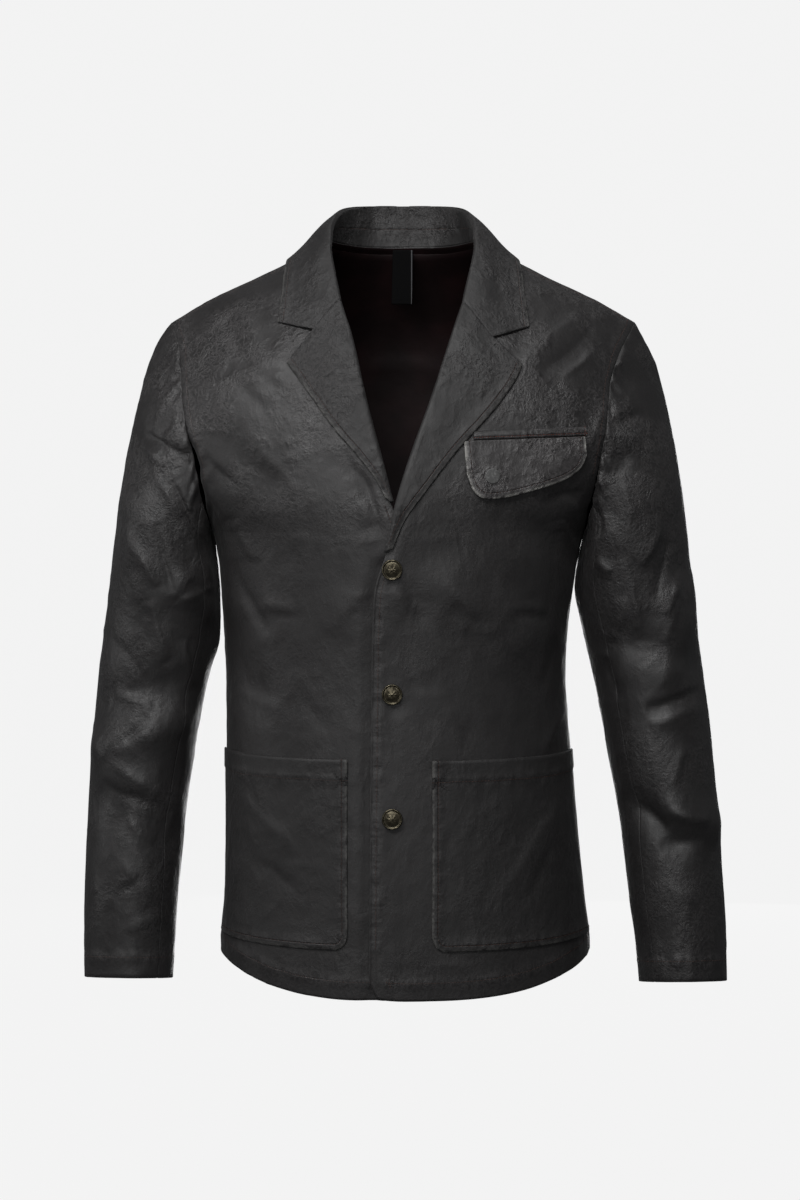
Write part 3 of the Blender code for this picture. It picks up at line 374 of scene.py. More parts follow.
def front_places(side, inner_z, outer_x, outer_z):
    """Distances from x = 0 of a front's columns on one row."""
    inner_x = front_edge[side](inner_z)
    places = [inner_x + step for step in EDGE_STEPS]
    first, last = turn_at(side * places[-1], inner_z), turn_at(side * outer_x, outer_z)
    for i in range(1, MORE_COLUMNS):
        share = i / MORE_COLUMNS
        places.append(side * x_at(mix(first, last, share), mix(inner_z, outer_z, share)))
    return places + [outer_x]


def front_grid(side):
    """One front, from its button edge, roll line or neck seam out to the side seam and armhole."""
    arm = armhole_heights()
    rows = []
    for row in range(SIDE_ROW + HALF_RING + 1):
        above = max(row - SIDE_ROW, 0)
        low = LOW_ROWS[min(row, SIDE_ROW)]
        inner_z = mix(low, 0.0, above / HALF_RING)
        outer_z = arm[above] if above else low
        outer_x = armhole_x[FRONT, side](outer_z) if above else half_width[side](outer_z)
        places = front_places(side, inner_z, outer_x, outer_z)
        line = []
        for place in places:
            along = (place - places[0]) / (outer_x - places[0])
            z = mix(inner_z, outer_z, along)
            if above == 0:
                z += hem_lift(max(place, 0.0) / outer_x, low) + corner_lift(place - places[0], low)
            else:
                straight = mix(0.0, TIP_Z, (place - NECK_X) / (TIP_X - NECK_X))
                sag = shoulder_height(max(place, 0.0)) - straight
                z += sag * (above / HALF_RING) ** 2 * ease(along * 8)
            point, _ = body_point(side, side * place, z, 0.0)
            if above == HALF_RING:
                z = shoulder_height(place)
                point = Vector((side * place, body_middle(z), z))
            line.append(point)
        rows.append(line)
    return rows


def back_grid():
    """The back in one piece, between the side seams, armholes, shoulder seams and neck seam."""
    arm = armhole_heights()
    shoulder = {side: front_places(side, 0.0, TIP_X, TIP_Z) for side in SIDES}
    last = NECK_COLUMNS + len(shoulder[RIGHT]) - 1
    rows = []
    for row in range(SIDE_ROW + HALF_RING + 1):
        above = max(row - SIDE_ROW, 0)
        low = LOW_ROWS[min(row, SIDE_ROW)]
        share = above / HALF_RING
        line = []
        for column in range(-last, last + 1):
            side = LEFT if column >= 0 else RIGHT
            i = abs(column)
            outer_z = arm[above] if above else low
            outer_x = armhole_x[BACK, side](outer_z) if above else half_width[side](outer_z)
            low_x = side * x_at(turn_at(side * outer_x, outer_z) * i / last, outer_z)
            if i <= NECK_COLUMNS:
                s = NECK_POINT * i / NECK_COLUMNS
                top = (back_neck["x"](s), back_neck["y"](s), collar_at["seam_z"](s))
            else:
                x = shoulder[side][i - NECK_COLUMNS]
                top = (x, body_middle(shoulder_height(x)), shoulder_height(x))
            place = outer_x * mix(low_x / outer_x, top[0] / TIP_X, share**1.5)
            z = mix(mix(low, BACK_NECK_Z, share), outer_z, (place / outer_x) ** 2)
            z += hem_lift(place / outer_x, low) if above == 0 else 0.0
            z += (top[2] - mix(BACK_NECK_Z, TIP_Z, (place / TIP_X) ** 2)) * share**2
            y = torso_y(side * place, z, BACK)
            if i <= NECK_COLUMNS:
                y += (top[1] - torso_y(side * top[0], top[2], BACK)) * ease((share - 0.6) / 0.4)
            if above == HALF_RING:
                place, y, z = top
            line.append(Vector((side * place, y, z)))
        rows.append(line)
    return rows


def sleeve_rings(side, front, back):
    """Rings of the sleeve. The first is the armhole, taken from the two body pieces."""
    down = [front[SIDE_ROW + k][-1] for k in range(HALF_RING, -1, -1)]
    column = -1 if side == LEFT else 0
    up = [back[SIDE_ROW + k][column] for k in range(1, HALF_RING)]
    name = SIDES[side]
    keys = ("z_in", "out_" + name, "in_" + name, "mid", "deep", "pitch")
    curves = [through(SLEEVE, "z", key) for key in keys]

    def ring_point(z_out, angle):
        z_in, out, inside, mid, deep, pitch = [curve(z_out) for curve in curves]
        c, s = math.cos(angle), math.sin(angle)
        x = mix(inside, out, (1 + c) / 2)
        z = mix(z_in, z_out, (1 + c) / 2) + pitch * s
        z = TIP_Z + (z - TIP_Z) * SLEEVE_STRETCH[side]
        return Vector((side * x, mid - deep * s, z))

    rings = [down + up]
    for number in range(1, SLEEVE_RINGS):
        z_out = mix(TIP_Z, CUFF_Z, (number / (SLEEVE_RINGS - 1)) ** 1.15)
        fade = 1 - ease((TIP_Z - z_out) / SLEEVE_HEAD)
        line = []
        for k, seam_point in enumerate(down + up):
            angle = math.pi * k / HALF_RING
            line.append(ring_point(z_out, angle) + (seam_point - ring_point(TIP_Z, angle)) * fade)
        rings.append(line)
    return rings


# ---------------------------------------------------------------- lapels and collar
ROLL_ANGLES = (-160, -110, -55, 0)  # degrees round a lapel's roll, to its crest
LAPEL_SHARES = (0.16, 0.31, NOTCH, 0.74, 1.0)  # places from the roll to the outer edge
FALL_ANGLES = (-90, -45, 0)  # round the collar's roll
FALL_SHARES = (0.12, 0.28, 0.47, 0.66, 0.84, 1.0)
FALL_BULGE = 3.5
FALL_JOIN = 7  # points of the fall's row that it has in common with the lapel's top


def lapel_sections(side, front, normals):
    """Rows of the lapel: round the roll from the front's inner edge, then over the chest."""
    table = LAPEL[side]
    roll_z = through(table, "t", "roll_z")
    edge_x, edge_z = through(table, "t", "edge_x"), through(table, "t", "edge_z")
    gorge = GORGE[side]
    heights = [line[0].z for line in front]
    rows = []
    for j in range(LAPEL_STEPS + 1):
        t = j / LAPEL_STEPS
        row = where(heights, roll_z(t))
        base = on_grid(front, row, 0)
        normal = on_grid(normals, row, 0).normalized()
        away = (on_grid(front, row, 1) - base).normalized()
        radius = mix(0.78, 1.0, ease(t * 5)) * ROLL_RADIUS
        centre = base + normal * (radius - CLOTH) - away * (SEAM_GAP + 0.3)
        line = [round_point(centre, away, normal, radius, angle) for angle in ROLL_ANGLES]
        crest = 2 * radius - CLOTH
        end = Vector((side * edge_x(t), edge_z(t)))
        start = Vector((base.x, base.z))
        notch = Vector((side * gorge.notch_x, gorge.notch_z))
        bend = (notch - start.lerp(end, NOTCH)) * ease((t - 0.75) * 4)
        for share in LAPEL_SHARES:
            place = start.lerp(end, share) + bend * max(1 - abs(share / NOTCH - 1), 0.0)
            height = mix(crest, REST + FOLDED, ease(share))
            point, _ = body_point(side, place.x, place.y, height)
            line.append(point)
        rows.append(line)
    return rows


def round_point(centre, away, crest, radius, angle):
    """A point on the roll: angle 0 is its crest and -90 degrees its side towards the neck."""
    turn = math.radians(angle)
    return centre + away * radius * math.sin(turn) + crest * radius * math.cos(turn)


def on_grid(rows, row, column):
    """A point of a grid between its rows and columns."""
    j, i = min(int(row), len(rows) - 2), min(int(column), len(rows[0]) - 2)
    low = rows[j][i].lerp(rows[j][i + 1], column - i)
    high = rows[j + 1][i].lerp(rows[j + 1][i + 1], column - i)
    return low.lerp(high, row - j)


def where(values, value):
    """The fractional index at which a rising list reaches a value."""
    i = min(max(bisect_right(values, value) - 1, 0), len(values) - 2)
    return i + (value - values[i]) / (values[i + 1] - values[i])


back_neck = {axis: through(BACK_NECK, "s", axis) for axis in "xy"}
collar_at = {key: through(COLLAR, "s", key) for key in Collar._fields[1:]}
COLLAR_STEPS = 15  # rows of the collar on each side of the centre back
STAND_END = 0.86  # the stand runs out here, before the gorge


def collar_frame(s):
    """Neck seam, roll centre, outer edge and the two directions of the collar's section at s."""
    place, side = abs(s), LEFT if s >= 0 else RIGHT
    at = {key: curve(place) for key, curve in collar_at.items()}
    if place <= NECK_POINT:
        seam = Vector((side * back_neck["x"](place), back_neck["y"](place), at["seam_z"]))
    else:
        seam, _ = body_point(side, side * front_edge[side](at["seam_z"]), at["seam_z"], 0.0)
    turn = Vector((side * at["turn_x"], at["turn_y"], at["turn_z"]))
    x, z = side * at["edge_x"], at["edge_z"]
    behind = Vector((x, torso_y(x, z, BACK) + REST + FOLDED + 2.5, z + 1.5))
    before, _ = body_point(side, x, min(z, shoulder_height(abs(x)) - 1), REST + FOLDED + 1)
    edge = behind.lerp(before, ease((place - 0.5) / 0.12))
    forward = ease((place - NECK_POINT) / 0.42)
    crest = Vector((0, 0, 1)).lerp(Vector((0, -0.93, 0.36)), forward).normalized()
    away = edge - turn
    away = (away - crest * away.dot(crest)).normalized()
    return seam, turn, edge, crest, away


def fall_grid(lapels):
    """The collar's fall: up from the stand, over the roll and down to its outer edge."""
    ends = {}
    for side, rows in lapels.items():
        gorge, line = GORGE[side], [point.copy() for point in rows[-1][:FALL_JOIN]]
        for share in (0.36, 0.7, 1.0):
            x = side * mix(gorge.notch_x, gorge.corner_x, share)
            z = mix(gorge.notch_z, gorge.corner_z, share)
            point, _ = body_point(side, x, z, mix(3.9, REST + FOLDED, share))
            line.append(point)
        ends[side] = line
    own_ends = {side: fall_section(side * 1.0) for side in ends}
    rows = []
    for step in range(-COLLAR_STEPS, COLLAR_STEPS + 1):
        s = step / COLLAR_STEPS
        side = LEFT if s >= 0 else RIGHT
        line = fall_section(s)
        for k, point in enumerate(line):
            fade = ease((abs(s) - 0.5) / 0.5) if k > 3 else ease((abs(s) - 0.7) / 0.3)
            point += (ends[side][k] - own_ends[side][k]) * fade
        rows.append(ends[side] if abs(s) == 1 else line)
    return rows


def fall_section(s):
    """One section of the fall: inside the stand's seam, round the roll, and to the outer edge."""
    seam, turn, edge, crest, away = collar_frame(s)
    radius = mix(4.0, ROLL_RADIUS, ease((abs(s) - 0.5) / 0.4))
    line = [round_point(turn, away, crest, radius, angle) for angle in FALL_ANGLES]
    start = mix(seam - away * CLOTH, line[0], 0.48)
    peak = turn + crest * radius
    for share in FALL_SHARES:
        bulge = math.sin(math.pi * min(share * 1.4, 1.0))
        line.append(peak.lerp(edge, share) + crest * FALL_BULGE * bulge)
    return [start] + line


def stand_grid(fall):
    """The collar's stand: from the neck seam up to the seam inside the fall."""
    last = round(STAND_END * COLLAR_STEPS)
    rows = []
    for step in range(-last, last + 1):
        seam, _, _, crest, away = collar_frame(step / COLLAR_STEPS)
        foot = seam - away * CLOTH + crest * SEAM_GAP
        head = fall[step + COLLAR_STEPS][0]
        rows.append([foot.lerp(head, share) for share in (0.0, 0.5, 1.0)])
    return rows


# ---------------------------------------------------------------- pieces that lie on the body
def laid(surface, x, z, lift):
    """A point on a surface as seen from the front, moved out by lift."""
    hit, _, _, _ = surface.ray_cast(Vector((x, -500, z)), Vector((0, 1, 0)))
    _, normal = body_point(LEFT, x, z, 0.0)
    return hit + normal * lift, normal


def line_height(line, x):
    return mix(line.z0, line.z1, (x - line.x0) / (line.x1 - line.x0))


# ---------------------------------------------------------------- fine grids
FINE = 8  # fine steps to each step of the form, down a piece and across most of them
BACK_ACROSS = 6
TRIM_DOWN = 6
SEAM_REACH = 16  # fine cells over which a seam's own line fades into the piece
TURN_REACH = 6  # and over which the direction shared at a seam does


def array(rows):
    return np.array([[tuple(point) for point in line] for line in rows])


def vectors(points):
    return [[Vector(point) for point in line] for line in points]


def unit(arrows):
    return arrows / np.maximum(np.linalg.norm(arrows, axis=-1, keepdims=True), 1e-9)


def spline(points, steps, closed=False):
    """Smooth curves down the columns of an array, with some fine rows to each of its rows."""
    if closed:
        run = np.concatenate([points[-1:], points, points[:2]])
    else:
        ends = 2 * points[:1] - points[1:2], 2 * points[-1:] - points[-2:-1]
        run = np.concatenate([ends[0], points, ends[1]])
    before, here, after, beyond = run[:-3, None], run[1:-2, None], run[2:-1, None], run[3:, None]
    t = (np.arange(steps) / steps).reshape((1, steps) + (1,) * (points.ndim - 1))
    bend = 2 * before - 5 * here + 4 * after - beyond + t * (3 * (here - after) + beyond - before)
    curve = here + 0.5 * t * (after - before + t * bend)
    curve = curve.reshape((-1,) + points.shape[1:])
    return curve if closed else np.concatenate([curve, points[-1:]])


def cornered(points, steps, *corners):
    """The same for one line of points, with corners at some of them."""
    ends = [0, *corners, len(points) - 1]
    runs = [spline(points[a : b + 1], steps)[:-1] for a, b in zip(ends, ends[1:])]
    return np.concatenate(runs + [points[-1:]])


def refined(points, down, across, closed=False):
    """A fine grid through the points of a grid, or of rings when closed."""
    wider = spline(points.swapaxes(0, 1), across, closed).swapaxes(0, 1)
    return spline(wider, down)


def from_border(grid, border):
    """The grid seen with one border as its first row. A change to it changes the grid."""
    if border in ("inner", "outer"):
        grid = grid.swapaxes(0, 1)
    return grid[::-1] if border in ("top", "outer") else grid


def pin(grid, border, curve, reach):
    """Moves a border onto a curve, and the cells next to it less and less."""
    rows = from_border(grid, border)
    fade = np.clip(1 - np.arange(len(rows)) / reach, 0, 1) ** 2
    rows += fade[:, None, None] * (curve - rows[0])[None]


def normals_of(points, outward):
    """Normals of a grid, on the side to which its middle one points with outward."""
    normals = unit(np.cross(np.gradient(points, axis=1), np.gradient(points, axis=0)))
    middle = normals[len(points) // 2, points.shape[1] // 2]
    return normals if middle @ outward > 0 else -normals


ALL_BORDERS = ("bottom", "top", "inner", "outer")


def share_normals(points, normals):
    """Makes normals equal where two pieces meet, so that what moves along them stays joined."""
    meeting = {}
    for name, grid in points.items():
        for border in ALL_BORDERS:
            places, arrows = from_border(grid, border)[0], from_border(normals[name], border)[0]
            for place, arrow in zip(np.round(places, 1), arrows):
                meeting.setdefault(tuple(place), []).append(arrow)
    for name, grid in points.items():
        for border in ALL_BORDERS:
            places = from_border(grid, border)[0]
            shared = unit(np.array([sum(meeting[tuple(place)]) for place in np.round(places, 1)]))
            pin(normals[name], border, shared, TURN_REACH)
        normals[name][:] = unit(normals[name])


def shell_points():
    """The body and the sleeves as fine grids, joined at their seams, without folds."""
    fronts = {side: front_grid(side) for side in SIDES}
    back = back_grid()
    rings = {side: array(sleeve_rings(side, fronts[side], back)) for side in SIDES}
    coarse = array(back)
    points = {"back": refined(coarse, FINE, BACK_ACROSS)}
    neck = len(coarse[0]) // 2 - NECK_COLUMNS
    top = cornered(coarse[-1], BACK_ACROSS, neck, len(coarse[0]) - 1 - neck)
    pin(points["back"], "top", top, SEAM_REACH)
    for side, name in SIDES.items():
        border = "outer" if side == LEFT else "inner"
        back_seam = cornered(from_border(coarse, border)[0], FINE, SIDE_ROW)
        pin(points["back"], border, back_seam, SEAM_REACH)
        front = array(fronts[side])
        front_seam = cornered(front[:, -1], FINE, SIDE_ROW)
        fine = refined(front, FINE, FINE)
        pin(fine, "top", spline(front[-1], FINE), SEAM_REACH)
        pin(fine, "outer", front_seam, SEAM_REACH)
        points["front_" + name] = fine
        underarm = SIDE_ROW * FINE
        armhole = np.concatenate([front_seam[underarm:][::-1], back_seam[underarm + 1 : -1]])
        sleeve = refined(rings[side], FINE, FINE, closed=True)
        pin(sleeve, "bottom", armhole, SEAM_REACH)
        points["sleeve_" + name] = sleeve
    return points


def ring_normals(rings):
    """Normals of closed rings, pointing away from their middles."""
    around = np.roll(rings, -1, axis=1) - np.roll(rings, 1, axis=1)
    normals = unit(np.cross(around, np.gradient(rings, axis=0)))
    inward = (normals * (rings - rings.mean(axis=1, keepdims=True))).sum() < 0
    return -normals if inward else normals


def sleeve_parts(rings):
    """The top and under pieces of rings, or of their normals, between the two sleeve seams."""
    first, last = (seam * FINE for seam in SLEEVE_SEAMS)
    around = rings.shape[1]
    top = [k % around for k in range(last, around + first + 1)]
    return {"sleeve_top_": rings[:, top], "sleeve_under_": rings[:, first : last + 1]}


def split_sleeves(grids):
    """The same grids with each sleeve as its two pieces."""
    parts = {}
    for name, grid in grids.items():
        if name.startswith("sleeve"):
            side = name.split("_")[1]
            parts |= {piece + side: part for piece, part in sleeve_parts(grid).items()}
        else:
            parts[name] = grid.copy()
    return parts


def shell_normals(points):
    normals = {}
    for name, grid in points.items():
        if name.startswith("sleeve"):
            normals[name] = ring_normals(grid)
        else:
            normals[name] = normals_of(grid, OUTWARD[name])
    return normals


# ---------------------------------------------------------------- folds and creases
CREASES = folds(  # narrow ones over those folds, each highest in the middle of its line
    FRONT,
    (-258, -189, -211, -213, 5, -2.6), (-260, -201, -231, -222, 6, 2.4), (-246, -226, -212, -275, 6, 1.8),
    (-273, -278, -242, -339, 6, 2.6), (-241, -275, -226, -345, 5, -1.6), (-202, -299, -187, -345, 5, 2),
    (-225, -234, -184, -316, 7, -2.6), (-211, -197, -194, -260, 6, -2.6), (-226, -153, -248, -174, 4, 1.3),
    (-221, -170, -244, -195, 4, -1.4), (-228, -137, -246, -150, 4, -1), (-287, -444, -244, -457, 5, 2.4),
    (-244, -467, -283, -498, 5, -2.4), (-291, -512, -240, -542, 6, 1.8), (-293, -533, -227, -566, 5, -2),
    (-272, -569, -241, -587, 5, 1.5), (-288, -392, -257, -420, 7, -1.3), (-218, -353, -184, -343, 5, 1.8),
    (-214, -392, -203, -441, 5, 1.4), (-278, -609, -239, -654, 8, 1.2), (-286, -649, -249, -629, 6, -1.1),
    (-247, -353, -230, -412, 8, 1.6), (-208, -333, -182, -359, 5, -1.8), (-269, -679, -231, -664, 6, 1),
    (199, -180, 238, -175, 4, -1.8), (203, -189, 233, -197, 5, 1.5), (186, -258, 196, -294, 6, -2.6),
    (189, -314, 206, -328, 5, 1.8), (252, -275, 234, -320, 5, 2.2), (271, -331, 257, -369, 5, 2.4),
    (262, -294, 247, -353, 5, -1.7), (274, -343, 255, -397, 6, 1.6), (200, -407, 209, -451, 6, -1.8),
    (238, -461, 297, -443, 5, -2.2), (242, -475, 291, -463, 5, 1.8), (230, -552, 256, -585, 5, -2.4),
    (256, -562, 300, -571, 5, 2.2), (248, -599, 292, -591, 6, -1.4), (281, -495, 260, -540, 6, 1.5),
    (211, -226, 227, -275, 6, 1.3), (220, -314, 232, -392, 7, 1.4), (253, -629, 292, -654, 7, 1.1),
    (216, -353, 208, -392, 5, 1.6), (-198, -207, -158, -240, 6, -1.8), (-203, -225, -169, -272, 7, 1.5),
    (-156, -187, -98, -244, 8, 1.2), (-45, -251, -24, -278, 5, 1.8), (-58, -196, -16, -292, 6, -2.2),
    (-140, -352, -106, -360, 4, 1.2), (-135, -363, -99, -366, 4, -1), (-168, -311, -135, -388, 9, -1.8),
    (-160, -272, -145, -311, 6, 1.3), (-41, -340, -70, -388, 7, 1.2), (-49, -388, -89, -436, 8, -1.1),
    (-166, -445, -118, -457, 8, 1.1), (-5, -333, 11, -365, 4, 2), (5, -330, 26, -380, 5, -1.6),
    (35, -330, 76, -363, 5, 1.7), (47, -349, 93, -388, 7, -1.3), (52, -370, 95, -376, 3.5, 1),
    (103, -361, 147, -375, 4, -1.4), (99, -353, 139, -365, 4, 1.2), (157, -250, 171, -267, 5, 1.8),
    (133, -256, 179, -242, 5, -1.6), (150, -272, 173, -311, 6, 1.5), (157, -457, 139, -498, 5, 1.8),
    (151, -388, 132, -445, 7, -1.2), (93, -635, 153, -553, 7, 1.4), (113, -644, 151, -591, 6, -1.1),
    (-157, -542, -99, -591, 8, 1.1), (-148, -600, -90, -639, 7, -1), (16, -436, 64, -465, 7, 1),
    (1, -457, 36, -503, 6, 1.1), (-70, -484, -99, -445, 7, -0.9), (-98, -158, -146, -120, 8, 1.1),
    (150, -139, 188, -110, 6, 1.2), (131, -154, 180, -122, 5, -1.1), (-165, -139, -127, -177, 7, -1.1),
    (112, -126, 176, -72, 9, 1.5), (126, -140, 190, -84, 8, -1.4), (138, -152, 196, -100, 8, 1.4),
    (-178, -80, -148, -128, 9, -1.6), (-160, -74, -128, -122, 9, 1.4), (197, -163, 177, -210, 4, 1.4),
) + folds(
    BACK,
    (-255, -430, -300, -455, 6, -2.2), (-250, -448, -300, -478, 6, 2.0), (255, -430, 300, -455, 6, -2.2),
    (250, -448, 302, -478, 6, 2.0), (-262, -300, -232, -340, 7, 1.8), (264, -310, 234, -352, 7, 1.8),
    (-190, -190, -120, -150, 7, -1.8), (184, -195, 118, -150, 7, -1.8), (-176, -240, -96, -205, 8, 1.6),
    (172, -244, 92, -208, 8, 1.6), (-120, -420, 60, -428, 7, -1.6), (-60, -440, 130, -446, 7, 1.4),
    (-150, -400, -40, -410, 8, 1.2), (-60, -560, -80, -690, 12, 1.6), (70, -540, 96, -700, 12, 1.6),
    (-280, -560, -240, -590, 6, 1.6), (284, -560, 246, -600, 6, 1.6), (-290, -500, -240, -520, 7, -1.6),
    (292, -505, 244, -526, 7, -1.6), (-40, -120, 40, -128, 8, -1.0),
)
LATTICE = np.random.default_rng(11).uniform(-1, 1, (32, 32, 32))


def lumps(points, size, shift=0.0):
    """Soft noise from -1 to 1 over places in space, with lumps of about the given size."""
    place = points / size + shift
    cell = np.floor(place).astype(int)
    t = smooth(place - cell)
    total = np.zeros(points.shape[:-1])
    for corner in np.ndindex(2, 2, 2):
        i, j, k = np.moveaxis((cell + corner) % len(LATTICE), -1, 0)
        total += np.prod(np.where(corner, t, 1 - t), axis=-1) * LATTICE[i, j, k]
    return total


def along_lines(points, normals, folds):
    """For each fold: how squarely points face it, how far along it and how far off its line,
    counted as negative on one side."""
    for fold in folds:
        facing = np.minimum(normals[..., 1] * fold.face * 2, 1.0)
        facing[facing <= 0.1] = 0
        start = np.array((fold.x0, fold.z0))
        run = np.array((fold.x1, fold.z1)) - start
        place = points[..., ::2] - start
        t = np.clip(place @ run / (run @ run), 0, 1)
        side = np.sign(place[..., 0] * run[1] - place[..., 1] * run[0])
        yield fold, facing, t, np.linalg.norm(place - t[..., None] * run, axis=-1) * side


def fold_lift(points, normals, folds):
    """How far the form's soft folds move each point out."""
    total = np.zeros(points.shape[:-1])
    for fold, facing, _, away in along_lines(points, normals, folds):
        total += fold.height * np.exp(-((away / fold.width) ** 2)) * facing
    return total


CREST = 1.2  # mm over which a crease's crest is rounded
LEAN = 0.55  # how much steeper its steep side is


def crease_lift(points, normals, folds):
    """How far the creases do: sharp, steep on one side, and running out at both ends."""
    total = np.zeros(points.shape[:-1])
    for fold, facing, t, away in along_lines(points, normals, folds):
        width = fold.width * (1.15 + LEAN * np.tanh(away / 1.5))
        sharp = np.exp((CREST - np.hypot(away, CREST)) / width)
        total += fold.height * sharp * (4 * t * (1 - t)) ** 0.7 * facing
    return total


def rumple(points, normals, depth):
    """The small folds of worn coated cloth: listed creases, then soft and sharp waves.

    Lengths are in millimetres. The last number of each call of lumps picks another noise.
    """
    sway = np.stack([lumps(points, 42, k) for k in (3, 9, 15)], axis=-1)
    fine_sway = np.stack([lumps(points, 17, k) for k in (4, 8, 13)], axis=-1)
    creases = crease_lift(points + 5 * sway + 1.5 * fine_sway, normals, CREASES)
    waves = 0.3 * lumps(points * (1.0, 1.0, 0.7), 38)
    ridges = 1 - 3 * np.abs(lumps(points * (1.0, 1.0, 0.8) + 16 * sway, 29, 5))
    small = 1 - 3 * np.abs(lumps(points + 9 * fine_sway, 13, 6))
    return depth * creases + waves + 0.35 * np.maximum(ridges, -0.5) + 0.16 * np.maximum(small, -0.5)


def blurred(mask, reach):
    """A mask spread over the cells next to it."""
    for _ in range(reach):
        wide = np.pad(mask, 1, mode="edge")
        mask = (wide[:-2, 1:-1] + wide[2:, 1:-1] + wide[1:-1, :-2] + wide[1:-1, 2:] + mask) / 5
    return mask


def uncovered(points, trees):
    """1 where a piece lies open, 0 where another lies on it, with a soft border."""
    forward, behind, reach, soft_cells = Vector((0, -1, 0)), 10, 30.0, 6
    hidden = np.zeros(points.shape[:2])
    for place in np.ndindex(hidden.shape):
        start = Vector(points[place]) - forward * behind
        hits = (tree.ray_cast(start, forward, reach)[0] for tree in trees)
        hidden[place] = any(hit is not None for hit in hits)
    return 1 - np.clip(blurred(hidden, soft_cells) * 3, 0, 1)


PINCH = (-0.4, -0.1)  # of the first rows beside a seam


def pinch(grid, normals, borders):
    """Draws a piece in at its seams."""
    for border in borders:
        rows, arrows = from_border(grid, border), from_border(normals, border)
        for row, lift in enumerate(PINCH):
            rows[row] += arrows[row] * lift


# ---------------------------------------------------------------- meshes
def quads(height, width):
    corner = np.arange(height * width).reshape(height, width)
    cells = [corner[:-1, :-1], corner[:-1, 1:], corner[1:, 1:], corner[1:, :-1]]
    return np.stack(cells, -1).reshape(-1, 4)


def ring_faces(rings, sides):
    """Faces from each ring of points to the next, and the one that closes the first ring."""
    corner = np.arange(rings * sides).reshape(rings, sides)
    after = np.roll(corner, -1, axis=1)
    faces = np.stack([corner[:-1], after[:-1], after[1:], corner[1:]], -1).reshape(-1, 4)
    return [*faces.tolist(), corner[0, ::-1].tolist()]


def border_loop(height, width):
    """The corners of a grid's cells round its border, in order."""
    corner = np.arange(height * width).reshape(height, width)
    return np.concatenate([corner[0, :-1], corner[:-1, -1], corner[-1, :0:-1], corner[:0:-1, 0]])


def tree_of(points):
    """The outside of a grid, to lay other pieces on."""
    return BVHTree.FromPolygons(points.reshape(-1, 3).tolist(), quads(*points.shape[:2]).tolist())


def signed_volume(points, faces):
    a, b, c, d = (points[faces[:, k]] for k in range(4))
    return (a * (np.cross(b, c) + np.cross(c, d))).sum()


def closed_cloth(name, outer, inner, finishes, seam_map=None, slot="coated_cloth", crisp=False):
    """A sheet with an outside, an inside and a rounded edge, as one closed body."""
    height, width = outer.shape[:2]
    count = height * width
    flat = [outer.reshape(-1, 3), inner.reshape(-1, 3)]
    loop = border_loop(height, width)
    middle = (flat[0][loop] + flat[1][loop]) / 2
    along = unit(np.roll(middle, -1, axis=0) - np.roll(middle, 1, axis=0))
    outward = unit(np.cross(along, flat[0][loop] - flat[1][loop]))
    inward = np.concatenate([outer[1, :-1], outer[:-1, -2], outer[-2, :0:-1], outer[:0:-1, 1]])
    outward *= -np.sign(((inward - flat[0][loop]) * outward).sum(-1, keepdims=True))
    thick = np.linalg.norm(flat[0][loop] - flat[1][loop], axis=-1, keepdims=True)
    points = np.concatenate(flat + [middle + outward * thick * 0.4])
    front = quads(height, width)
    here, after = np.arange(len(loop)), np.roll(np.arange(len(loop)), -1)
    rim = 2 * count + here, 2 * count + after
    upper = np.stack([loop[after], loop[here], rim[0], rim[1]], -1)
    lower = np.stack([rim[1], rim[0], count + loop[here], count + loop[after]], -1)
    faces = np.concatenate([front, count + front[:, ::-1], upper, lower])
    if signed_volume(points, faces) < 0:
        faces = faces[:, ::-1]
    made = riding(name, smooth_mesh(name, points * MM, faces.tolist(), finishes), slot)
    inside = np.zeros(len(faces), dtype=np.int32)
    inside[len(front) : 2 * len(front)] = len(finishes) - 1
    made.data.polygons.foreach_set("material_index", inside)
    if crisp:
        rounded = np.arange(len(faces)) < 2 * len(front)
        made.data.polygons.foreach_set("use_smooth", rounded)
    if seam_map is not None:
        places = seam_map.reshape(-1, 2)
        map_onto(made, np.concatenate([places, places, places[loop]]))
    made["flat"] = cut_size(outer)
    return made


def added(name, data):
    """An object of the scene with this mesh, curve, lamp or camera."""
    made = bpy.data.objects.new(name, data)
    bpy.context.scene.collection.objects.link(made)
    return made


def riding(name, mesh, slot):
    """A piece of the part, which rides on its only body."""
    made = added(name, mesh)
    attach(made, "root")
    return made


def smooth_mesh(name, points, faces, finishes):
    """A smooth mesh from points in metres."""
    mesh = bpy.data.meshes.new(name)
    mesh.from_pydata(points.tolist(), [], faces)
    for finish in finishes:
        mesh.materials.append(finish)
    mesh.shade_smooth()
    return mesh


def map_onto(made, places):
    """Keeps two numbers for each point as the piece's own map."""
    mesh = made.data
    corners = np.empty(len(mesh.loops), dtype=np.int32)
    mesh.loops.foreach_get("vertex_index", corners)
    layer = mesh.uv_layers.new(name="seams")
    layer.data.foreach_set("uv", places[corners].astype(np.float32).ravel())


def cut_size(outer):
    """Width, length and area of the flat cut, in metres, from the outside of a piece."""
    across = np.linalg.norm(np.diff(outer, axis=1), axis=-1).sum(axis=1).max()
    down = np.linalg.norm(np.diff(outer, axis=0), axis=-1).sum(axis=0).max()
    a, b, c, d = outer[:-1, :-1], outer[:-1, 1:], outer[1:, 1:], outer[1:, :-1]
    area = np.linalg.norm(np.cross(c - a, d - b), axis=-1).sum() / 2
    return [across * MM, down * MM, area * MM * MM]


LEAST_CUT = 0.0105  # metres: a narrow piece is stated as at least this long


def declare(piece, held, rests_on, stitching=()):
    width, length, area = piece["flat"]
    length = max(length, LEAST_CUT)
    min(area, width * length)
    list(stitching)
    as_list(rests_on)


